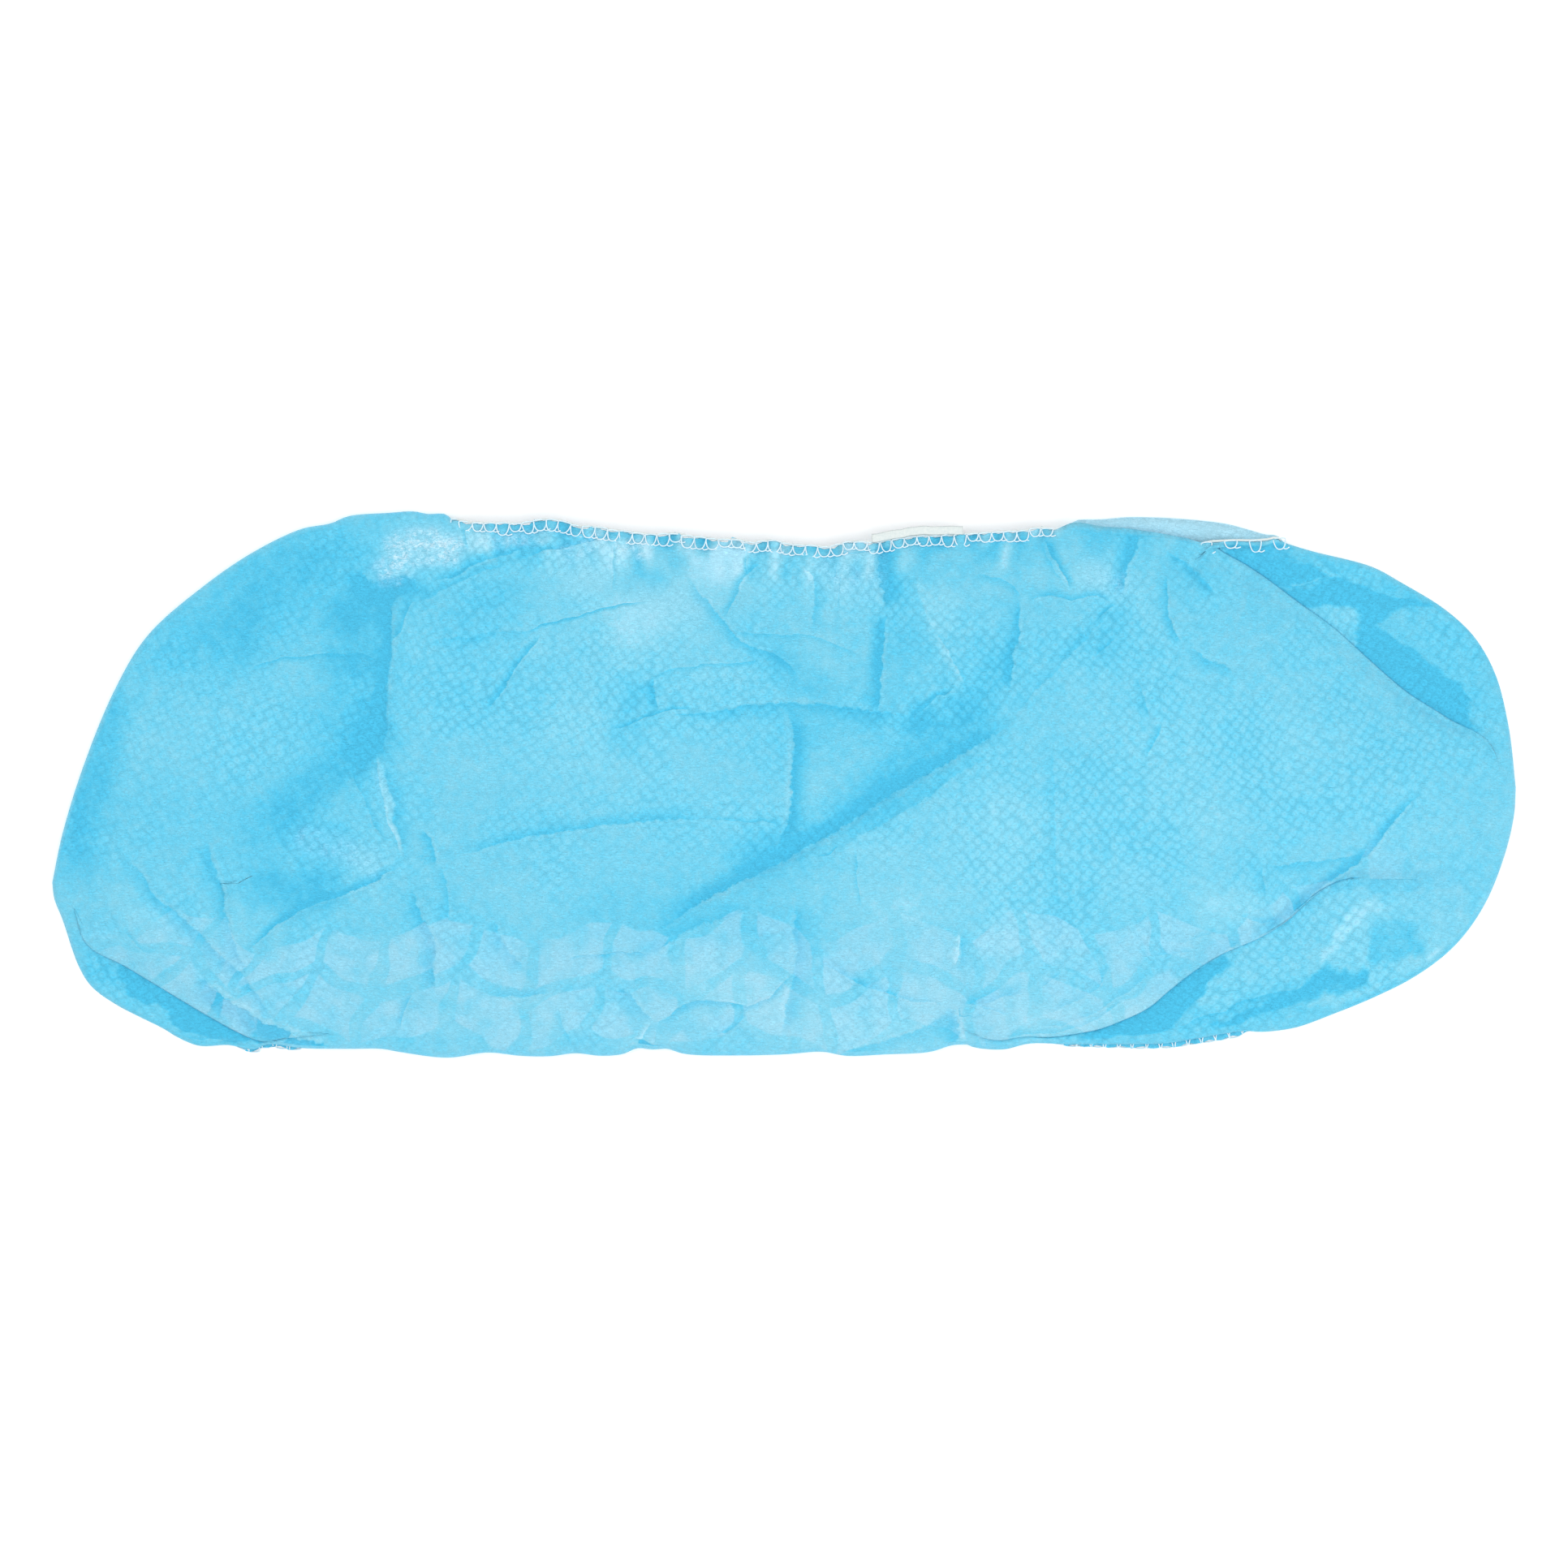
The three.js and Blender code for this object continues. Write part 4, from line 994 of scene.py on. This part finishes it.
puff = fade(plus(bonds, times(fibres, 0.45)), 0.14, 0.42, 0.55, -0.2)
weld = fade(bonds, 0.5, 0.62, 0.0, -0.5)
# Besides their bump, the puffs are painted lighter and the welds darker in the colour below: painted
# highlight and shade.
dots = times(plus(puff, weld), slack)

# The tread: two zigzag rows of milky blocks, printed on the sole side to keep it from slipping.
TREAD_PITCH, TREAD_GAP = 21.5, 4.0
TREAD_ROW, TREAD_START = 17.0, -1.4
TREAD_LEAN = 0.4  # slope of the zigzag
PRINT_EDGE = 0.4  # softness of a block's edge
PRINT_WAVE, PRINT_SWAY = 13.0, 9.0  # how far the blocks are pushed out of true
split = add(tree, "ShaderNodeSeparateXYZ", {0: tread_at})
worn = fade(noise(cloth_at, 9, 2.0), -0.2, 0.12, 0.35, 1.0)


def tread_print(along, inward, warp):
    """Where the blocks are, shifted by the given mm along the sole and in from it."""
    wave = times(noise(cloth_at, warp, 1.0), PRINT_WAVE)
    u = plus(times(split.outputs[0], 1000.0), wave, times(creases, 3.0), along)
    sway = times(noise(tread_at, warp + 4, 1.0), PRINT_SWAY)
    v = plus(times(split.outputs[1], 1000.0), sway, times(creases, -2.0), inward)
    cell = calc(tree, "FRACT", calc(tree, "DIVIDE", u, TREAD_PITCH))
    from_mid = times(calc(tree, "ABSOLUTE", calc(tree, "SUBTRACT", cell, 0.5)), TREAD_PITCH)
    pair = calc(tree, "FRACT", calc(tree, "DIVIDE", u, 2 * TREAD_PITCH))
    zigzag = times(calc(tree, "ABSOLUTE", calc(tree, "SUBTRACT", pair, 0.5)), 2 * TREAD_PITCH)
    leant = calc(tree, "SUBTRACT", v, times(zigzag, TREAD_LEAN))
    row = calc(tree, "FRACT", calc(tree, "DIVIDE", calc(tree, "SUBTRACT", leant, TREAD_START), TREAD_ROW))
    row_mid = times(calc(tree, "ABSOLUTE", calc(tree, "SUBTRACT", row, 0.5)), TREAD_ROW)
    half, half_row = (TREAD_PITCH - TREAD_GAP) / 2, (TREAD_ROW - TREAD_GAP) / 2
    start, end = TREAD_START, TREAD_START + 2 * TREAD_ROW
    in_cell = fade(from_mid, half - PRINT_EDGE, half + PRINT_EDGE, 1.0, 0.0)
    in_row = fade(row_mid, half_row - PRINT_EDGE, half_row + PRINT_EDGE, 1.0, 0.0)
    after_start = fade(leant, start - PRINT_EDGE, start + PRINT_EDGE)
    before_end = fade(leant, end - PRINT_EDGE, end + PRINT_EDGE, 1.0, 0.0)
    return times(in_cell, in_row, times(after_start, before_end))


tread = plus(times(tread_print(0.0, 0.0, 19), 0.85), times(tread_print(9.0, 6.0, 27), 0.24))
tread = times(tread, worn, fact("sole_side"))

# How deep the blue is: the layers that lie together, with painted shade and light of the dents,
# swellings and hollows; the creases' painted shade and highlights; the unevenness of the felt, with
# painted light on its puffs.
layers_and_shading = times(fact("tone"), plus(1.3, times(mottle, 0.9)))
uneven_and_puff_light = [times(mottle, 0.5), times(patchy, 0.36), times(fibres, 0.26), times(dots, -0.12)]
depth = plus(layers_and_shading, creases, 0.45, *uneven_and_puff_light)
ramp = add(tree, "ShaderNodeValToRGB", {"Fac": depth})
stops = [(0.0, "#A6DFF4"), (0.25, "#80CFE7"), (0.5, "#67C8E6"), (0.75, "#52C2E5"), (1.0, "#40B9E0")]
while len(ramp.color_ramp.elements) < len(stops):
    ramp.color_ramp.elements.new(0.5)
for element, (position, code) in zip(ramp.color_ramp.elements, stops):
    element.position = position
    element.color = srgb(code)


def mixed(factor, colour, over, blend="MIX"):
    """Mixes a colour over another one; Mix keeps its colours in the sockets 6 and 7."""
    node = add(tree, "ShaderNodeMix", {0: factor}, data_type="RGBA", blend_type=blend)
    tree.links.new(over, node.inputs[6])
    if isinstance(colour, bpy.types.NodeSocket):
        tree.links.new(colour, node.inputs[7])
    else:
        node.inputs[7].default_value = colour
    return node.outputs[2]


printed = mixed(times(tread, 0.31), srgb("#B9DCEC"), ramp.outputs[0])
# Painted sheen: the crinkled places, and the rolled far strip in the near wall's shade, are mixed towards
# white in flecks along the filaments.
sparkle = fade(fibres, -0.16, 0.18, 0.25, 1.0)
whiten = calc(tree, "MINIMUM", times(fact("pale"), sparkle, fade(mottle, -0.1, 0.12, 0.35, 1.0), 0.8), 0.75)
whitened = mixed(whiten, srgb("#D6EBF4"), printed)
# The grain: the filaments and the mottle vary the colour, and the puffs of the bond points get a painted
# highlight.
grain_and_puff_light = plus(0.87, times(fibres, 0.6), times(mottle, 0.035), times(dots, 0.035))
grey = add(tree, "ShaderNodeCombineXYZ", {0: grain_and_puff_light, 1: grain_and_puff_light, 2: grain_and_puff_light}).outputs[0]
grained_and_puff_lit = mixed(1.0, grey, whitened, "MULTIPLY")

surface = plus(times(dots, 0.42), times(fibres, 0.7), times(mottle, 0.8), times(creases, -0.35))
bump = add(tree, "ShaderNodeBump", {"Height": surface, "Strength": 0.75, "Distance": 0.5 * MM}).outputs[0]
shader = add(
    tree, "ShaderNodeBsdfPrincipled",
    {"Base Color": grained_and_puff_lit, "Roughness": 0.62, "IOR": 1.49, "Specular IOR Level": 0.25,
     "Sheen Weight": 0.15, "Sheen Roughness": 0.5, "Normal": bump},
)
add(tree, "ShaderNodeOutputMaterial", {"Surface": shader.outputs[0]})
cover.data.materials.append(nonwoven)
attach(cover, "root")
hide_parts("cover_shell")

# The overlock: two loopers and a needle lay white polyester thread in a net over the cut edge.
# Each stitch runs from the edge to a knot on the needle line and back, with a small loose eye.
STITCH_PITCH = 3.4
STITCH_DEPTH = 2.5
THREAD_RADIUS = 0.17
TWIST = 0.5  # of its plies
thread, tree = new_material("polyester_overlock_thread")
thread_at = add(tree, "ShaderNodeTexCoord").outputs["Object"]
twist = add(
    tree, "ShaderNodeTexNoise", {"Vector": thread_at, "Scale": 1 / (TWIST * MM), "Detail": 2.0}
).outputs["Fac"]
thread_tone = add(tree, "ShaderNodeValToRGB", {"Fac": twist})
thread_tone.color_ramp.elements[0].color = srgb("#A6C9D8")
thread_tone.color_ramp.elements[1].color = srgb("#E2EEF3")
thread_bump = add(
    tree, "ShaderNodeBump", {"Height": twist, "Strength": 0.4, "Distance": 0.1 * MM}
).outputs[0]
thread_shader = add(
    tree, "ShaderNodeBsdfPrincipled",
    {"Base Color": thread_tone.outputs[0], "Roughness": 0.6, "Sheen Weight": 0.2, "Normal": thread_bump},
)
add(tree, "ShaderNodeOutputMaterial", {"Surface": thread_shader.outputs[0]})


def stitch_motif():
    """One stitch: x along the edge, y out towards it, z up."""
    p, d = STITCH_PITCH, STITCH_DEPTH
    strands = [
        [(-p / 2, 0.0, 0.15), (-0.44 * p, -0.45 * d, 0.45), (-0.26 * p, -0.9 * d, 0.5), (0, -d, 0.45),
         (0.26 * p, -0.88 * d, 0.55), (0.45 * p, -0.4 * d, 0.5), (p / 2, 0.05, 0.15)],
        [(0.26 * p, -0.9 * d, 0.5), (0.42 * p, -1.02 * d, 0.6), (0.56 * p, -0.98 * d, 0.6),
         (0.74 * p, -0.88 * d, 0.5)],
        [(-p / 2, 0.1, 0.0), (-0.2 * p, 0.28, 0.1), (0.2 * p, 0.28, -0.1), (p / 2, 0.1, 0.0)],
    ]
    curve = bpy.data.curves.new("stitch_motif", "CURVE")
    curve.dimensions = "3D"
    for strand in strands:
        spline = curve.splines.new("BEZIER")
        spline.bezier_points.add(len(strand) - 1)
        spline.resolution_u = 2
        for point, place in zip(spline.bezier_points, strand):
            point.co = [c * MM for c in place]
            point.handle_left_type = point.handle_right_type = "AUTO"
    obj = bpy.data.objects.new("stitch_motif", curve)
    bpy.context.scene.collection.objects.link(obj)
    return obj


def overlock_tree():
    """Lays the motif at each pitch along a line, thickens it to thread and makes it real."""
    tree = bpy.data.node_groups.new("overlock", "GeometryNodeTree")
    face = tree.interface
    face.new_socket(name="Geometry", in_out="INPUT", socket_type="NodeSocketGeometry")
    sockets = {
        "Stitch": "Object", "Pitch": "Float", "Thread Radius": "Float", "Seed": "Int", "Thread": "Material",
    }
    for name, kind in sockets.items():
        face.new_socket(name=name, in_out="INPUT", socket_type="NodeSocket" + kind)
    face.new_socket(name="Geometry", in_out="OUTPUT", socket_type="NodeSocketGeometry")
    given = add(tree, "NodeGroupInput").outputs
    line = add(tree, "GeometryNodeMeshToCurve", {"Mesh": given["Geometry"]}).outputs[0]
    line = add(
        tree, "GeometryNodeResampleCurve", {"Curve": line, "Length": given["Pitch"]}, mode="LENGTH"
    ).outputs[0]
    along = add(tree, "GeometryNodeInputTangent").outputs[0]
    turn = add(
        tree, "FunctionNodeAlignRotationToVector", {"Vector": along}, axis="X", pivot_axis="Z"
    ).outputs[0]
    stitch = add(tree, "GeometryNodeObjectInfo", {"Object": given["Stitch"]}, transform_space="ORIGINAL")
    size = add(
        tree, "FunctionNodeRandomValue",
        {0: (0.86, 0.72, 0.8), 1: (1.12, 1.22, 1.25), "Seed": given["Seed"]},
        data_type="FLOAT_VECTOR",
    ).outputs[0]
    laid = add(
        tree, "GeometryNodeInstanceOnPoints",
        {"Points": line, "Instance": stitch.outputs["Geometry"], "Rotation": turn, "Scale": size},
    ).outputs[0]
    real = add(tree, "GeometryNodeRealizeInstances", {0: laid}).outputs[0]
    section = add(
        tree, "GeometryNodeCurvePrimitiveCircle", {"Radius": given["Thread Radius"], "Resolution": 6}
    )
    tube = add(
        tree, "GeometryNodeCurveToMesh",
        {"Curve": real, "Profile Curve": section.outputs[0], "Fill Caps": True},
    ).outputs[0]
    tube = add(tree, "GeometryNodeSetMaterial", {"Geometry": tube, "Material": given["Thread"]}).outputs[0]
    tube = add(tree, "GeometryNodeRealizeInstances", {0: tube}).outputs[0]
    add(tree, "NodeGroupOutput", {0: tube})
    return tree


def grown(obj, tree, values):
    """Runs a Geometry Nodes tree on a piece and keeps the plain mesh that it makes."""
    modifier = obj.modifiers.new(tree.name, "NODES")
    modifier.node_group = tree
    for item in tree.interface.items_tree:
        if item.in_out == "INPUT" and item.name in values:
            modifier[item.identifier] = values[item.name]
    shown = obj.evaluated_get(bpy.context.evaluated_depsgraph_get())
    mesh = bpy.data.meshes.new_from_object(shown)
    obj.modifiers.clear()
    obj.data = mesh
    return obj


def line_object(name, line):
    mesh = bpy.data.meshes.new(name)
    mesh.from_pydata((np.asarray(line) * MM).tolist(), [(i, i + 1) for i in range(len(line) - 1)], [])
    obj = bpy.data.objects.new(name, mesh)
    bpy.context.scene.collection.objects.link(obj)
    return obj


motif = stitch_motif()
overlock = overlock_tree()
mouth_stations = np.nonzero(ON_MOUTH & (AT_X > MOUTH_FROM) & (AT_X <= MOUTH_TO))[0]


def edge_line(ring, lift, outward=0.0):
    """The mouth's edge on the given ring, from heel to toe, a little above the cloth."""
    line = points[ring, mouth_stations].copy()
    line[:, :2] -= INWARD[mouth_stations] * outward
    line[:, 2] += lift
    kernel = np.ones(5) / 5
    for k in range(3):
        line[2:-2, k] = np.convolve(line[:, k], kernel, "valid")
    return line


def overlocked(name, line, pitch, seed, *nodes):
    obj = grown(
        line_object(name, line), overlock,
        {
            "Stitch": motif,
            "Pitch": pitch * MM,
            "Thread Radius": THREAD_RADIUS * MM,
            "Seed": seed,
            "Thread": thread,
        },
    )
    obj.data.shade_smooth()
    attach(obj, "root")
    if nodes:
        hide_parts(*nodes)
    return obj


STITCHES_TO, STITCHES_FROM = 72, 115  # between these the edge is rolled in over them
LOOSE_PITCH = 1.6 * STITCH_PITCH  # of the open stitches at the heel
near_edge = edge_line(near_ring, 0.3)[::-1]
toe_end = near_edge[near_edge[:, 0] < STITCHES_TO]
heel_end = near_edge[near_edge[:, 0] > STITCHES_FROM]
near_overlock = overlocked("mouth_overlock_near", toe_end, STITCH_PITCH, 5)
heel_overlock = overlocked("mouth_overlock_heel", heel_end, LOOSE_PITCH, 8)

# The elastic: a thin covered rubber thread caught inside the overlock, greyish beige, stretched
# while it is sewn so that it gathers the mouth.
ELASTIC_WIDTH, ELASTIC_HEIGHT = 0.6, 0.5
WRAP = 0.6  # of its covering
elastic, tree = new_material("covered_elastic_thread")
elastic_at = add(tree, "ShaderNodeTexCoord").outputs["Object"]
wrap = add(
    tree, "ShaderNodeTexNoise", {"Vector": elastic_at, "Scale": 1 / (WRAP * MM), "Detail": 3.0}
).outputs["Fac"]
elastic_tone = add(tree, "ShaderNodeValToRGB", {"Fac": wrap})
elastic_tone.color_ramp.elements[0].color = srgb("#B4C2C4")
elastic_tone.color_ramp.elements[1].color = srgb("#D6DAD6")
elastic_bump = add(
    tree, "ShaderNodeBump", {"Height": wrap, "Strength": 0.4, "Distance": 0.1 * MM}
).outputs[0]
elastic_shader = add(
    tree, "ShaderNodeBsdfPrincipled",
    {"Base Color": elastic_tone.outputs[0], "Roughness": 0.7, "Normal": elastic_bump},
)
add(tree, "ShaderNodeOutputMaterial", {"Surface": elastic_shader.outputs[0]})


def tube_mesh(name, line, width, height, closed, material):
    """A cord of oval section along a line."""
    line = np.asarray(line, float)
    forward = np.roll(line, -1, axis=0) - np.roll(line, 1, axis=0)
    if not closed:
        forward[0], forward[-1] = line[1] - line[0], line[-1] - line[-2]
    forward /= np.linalg.norm(forward, axis=1, keepdims=True)
    across = np.cross(forward, [0.0, 0.0, 1.0])
    across /= np.maximum(np.linalg.norm(across, axis=1, keepdims=True), 1e-9)
    up = np.cross(across, forward)
    angles = np.linspace(0, 2 * math.pi, 8, endpoint=False)
    rim = [line + across * (width / 2 * math.cos(a)) + up * (height / 2 * math.sin(a)) for a in angles]
    vertices = np.stack(rim, axis=1).reshape(-1, 3)
    count, faces = len(line), []
    for i in range(count if closed else count - 1):
        j = (i + 1) % count
        faces += [(i * 8 + k, i * 8 + (k + 1) % 8, j * 8 + (k + 1) % 8, j * 8 + k) for k in range(8)]
    if not closed:
        faces += [tuple(range(7, -1, -1)), tuple(range((count - 1) * 8, count * 8))]
    obj = make_mesh(name, vertices, faces)
    work = bmesh.new()
    work.from_mesh(obj.data)
    bmesh.ops.recalc_face_normals(work, faces=work.faces)
    work.to_mesh(obj.data)
    work.free()
    obj.data.shade_smooth()
    obj.data.materials.append(material)
    return obj


near_cord = edge_line(near_ring, 0.0, 0.35)
far_cord = edge_line(far_ring, 0.35, 0.35)
TURN_STEPS = 6


def turn_between(a, b, onward):
    """A half turn that joins the near cord's end to the far cord's."""
    angles = np.linspace(0, math.pi, TURN_STEPS + 2)[1:-1]
    radius = abs(a[2] - b[2]) / 2
    return [a + (b - a) * (1 - math.cos(t)) / 2 + onward * radius * math.sin(t) for t in angles]


def onward_of(line):
    step = line[-1] - line[-4]
    step[2] = 0
    return step / np.linalg.norm(step)


toe_turn = turn_between(near_cord[-1], far_cord[-1], onward_of(near_cord))
heel_turn = turn_between(far_cord[0], near_cord[0], onward_of(near_cord[::-1]))
cord_loop = np.vstack([near_cord, toe_turn, far_cord[::-1], heel_turn])
elastic_loop = tube_mesh("elastic_loop", cord_loop, ELASTIC_WIDTH, ELASTIC_HEIGHT, True, elastic)
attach(elastic_loop, "root")
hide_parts("mouth_elastic")

# The elastic's two ends overlap for about an inch and lie outside the stitches as a flat tail.
tail_low, tail_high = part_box("elastic_tail")
TAIL_WIDTH, TAIL_HEIGHT = 2.4, 0.5
TAIL_STEPS = 40
tail_x = np.linspace(tail_low[0] / MM, tail_high[0] / MM, TAIL_STEPS)
order = np.argsort(near_cord[:, 0])
tail_y = np.interp(tail_x, near_cord[order, 0], near_cord[order, 1]) + 0.9
tail_z = np.interp(tail_x, near_cord[order, 0], near_cord[order, 2]) + 0.5
tail_y += 0.5 * np.sin(np.linspace(0, math.pi, TAIL_STEPS)) + 0.15 * spread_noise(tail_x, tail_x * 0, 2, 41)
tail_line = np.column_stack([tail_x, tail_y, tail_z])
tail = tube_mesh("elastic_tail_end", tail_line, TAIL_WIDTH, TAIL_HEIGHT, False, elastic)
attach(tail, "root")
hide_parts("elastic_tail")

far_edge = edge_line(far_ring, 0.4)[::-1]
far_edge = far_edge[far_edge[:, 0] < STITCHES_TO]
far_overlock = overlocked("mouth_overlock_far", far_edge, STITCH_PITCH, 6)

# The sole seam: the two cut edges of the envelope, laid together and overlocked. It lies flat on
# the ground under the bottom fold and shows at both ends, where the fold draws back.
SEAM_FROM, SEAM_TO = 24, 300  # in stations from the toe tip
SEAM_PITCH = 3.8
seam_stations = np.arange(SEAM_FROM, SEAM_TO)
SEAM_SHOW = [
    (-154, -1.6), (-147, 0.5), (-135, 0.8), (-127, -1.4), (68, -1.4), (78, 0.4), (100, 1.0), (118, 1.4),
    (124, 1.2), (130, -1.6),
]
seam_show = table_at(SEAM_SHOW, AT_X[seam_stations])
seam_line = OUTER[seam_stations] - INWARD[seam_stations] * seam_show[:, None]
seam_wave = 0.35 * np.sin(2 * math.pi * along[seam_stations] / 6.1) * (seam_show > 0)
ALLOWANCE = 3.4
rows = []
for inset, height in ((0, 0.25), (0.05, 0.55), (ALLOWANCE, 0.6), (ALLOWANCE, 0.15)):
    xy = seam_line + INWARD[seam_stations] * (inset + seam_wave * (inset < 1))[:, None]
    rows.append(np.column_stack([xy, np.full(len(xy), height)]))
seam_rows = np.array(rows)
seam_vertices = seam_rows.transpose(1, 0, 2).reshape(-1, 3)
seam_faces = []
for i in range(len(seam_stations) - 1):
    here, onward = i * 4, i * 4 + 4
    seam_faces += [(here + k, here + (k + 1) % 4, onward + (k + 1) % 4, onward + k) for k in range(4)]
last = (len(seam_stations) - 1) * 4
seam_faces += [(3, 2, 1, 0), (last, last + 1, last + 2, last + 3)]
allowance = make_mesh(
    "seam_allowance", seam_vertices, seam_faces,
    {"tone": np.full(len(seam_vertices), 0.2), "slack": np.full(len(seam_vertices), 0.4)},
    {
        "tread": np.zeros((len(seam_vertices), 2)),
        "cloth": seam_vertices[:, :2] * MM,
        "bonds": on_arc(seam_vertices),
    },
)
work = bmesh.new()
work.from_mesh(allowance.data)
bmesh.ops.recalc_face_normals(work, faces=work.faces)
work.to_mesh(allowance.data)
work.free()
allowance.data.materials.append(nonwoven)
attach(allowance, "root")
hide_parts("sole_seam")
seam_path = np.column_stack([seam_line, np.full(len(seam_line), 0.35)])
seam_overlock = overlocked("seam_overlock", seam_path[::-1], SEAM_PITCH, 7)
bpy.data.objects.remove(motif)

# The ground, lights and camera: a plain white table seen straight from above, under two large
# soft lights, the stronger one from the lower right.
ground = bpy.data.meshes.new("ground")
ground.from_pydata([(-3, -3, 0), (3, -3, 0), (3, 3, 0), (-3, 3, 0)], [], [(0, 1, 2, 3)])
floor = bpy.data.objects.new("ground", ground)
bpy.context.scene.collection.objects.link(floor)
white, tree = new_material("white_table")
table_shader = add(tree, "ShaderNodeBsdfPrincipled", {"Base Color": srgb("#FFFFFF"), "Roughness": 0.9})
add(tree, "ShaderNodeOutputMaterial", {"Surface": table_shader.outputs[0]})
ground.materials.append(white)

LAMPS = [
    # name, place in m, size in m, power in W
    ("key", (0.7, -0.6, 1.15), 1.6, 9.9),
    ("fill", (-0.7, 0.6, 1.2), 1.6, 7.2),
]
ROOM_LIGHT = 0.95
for name, place, size, power in LAMPS:
    lamp = bpy.data.lights.new(name, "AREA")
    lamp.shape, lamp.size, lamp.energy = "DISK", size, power
    obj = bpy.data.objects.new(name, lamp)
    obj.location = place
    obj.rotation_euler = (-Vector(place)).to_track_quat("-Z", "Y").to_euler()
    bpy.context.scene.collection.objects.link(obj)
world = bpy.data.worlds.new("studio")
bpy.context.scene.world = world
world.use_nodes = True
world.node_tree.nodes["Background"].inputs[0].default_value = (1, 1, 1, 1)
world.node_tree.nodes["Background"].inputs[1].default_value = ROOM_LIGHT

LENS, SENSOR = 100.0, 36.0
FILLED = 0.934  # share of the view's width that the cover fills
OUTLINE_HEIGHT = 0.003  # of the folds that make its outline, in m
low, high = cad_box
span = (high[0] - low[0]) / FILLED
camera_data = bpy.data.cameras.new("camera")
camera_data.lens, camera_data.sensor_width = LENS, SENSOR
camera = bpy.data.objects.new("camera", camera_data)
middle_x, middle_y = (low[0] + high[0]) / 2, (low[1] + high[1]) / 2
camera.location = (middle_x, middle_y, span * LENS / SENSOR + OUTLINE_HEIGHT)
bpy.context.scene.collection.objects.link(camera)
bpy.context.scene.camera = camera
bpy.context.scene.view_settings.view_transform = "Standard"
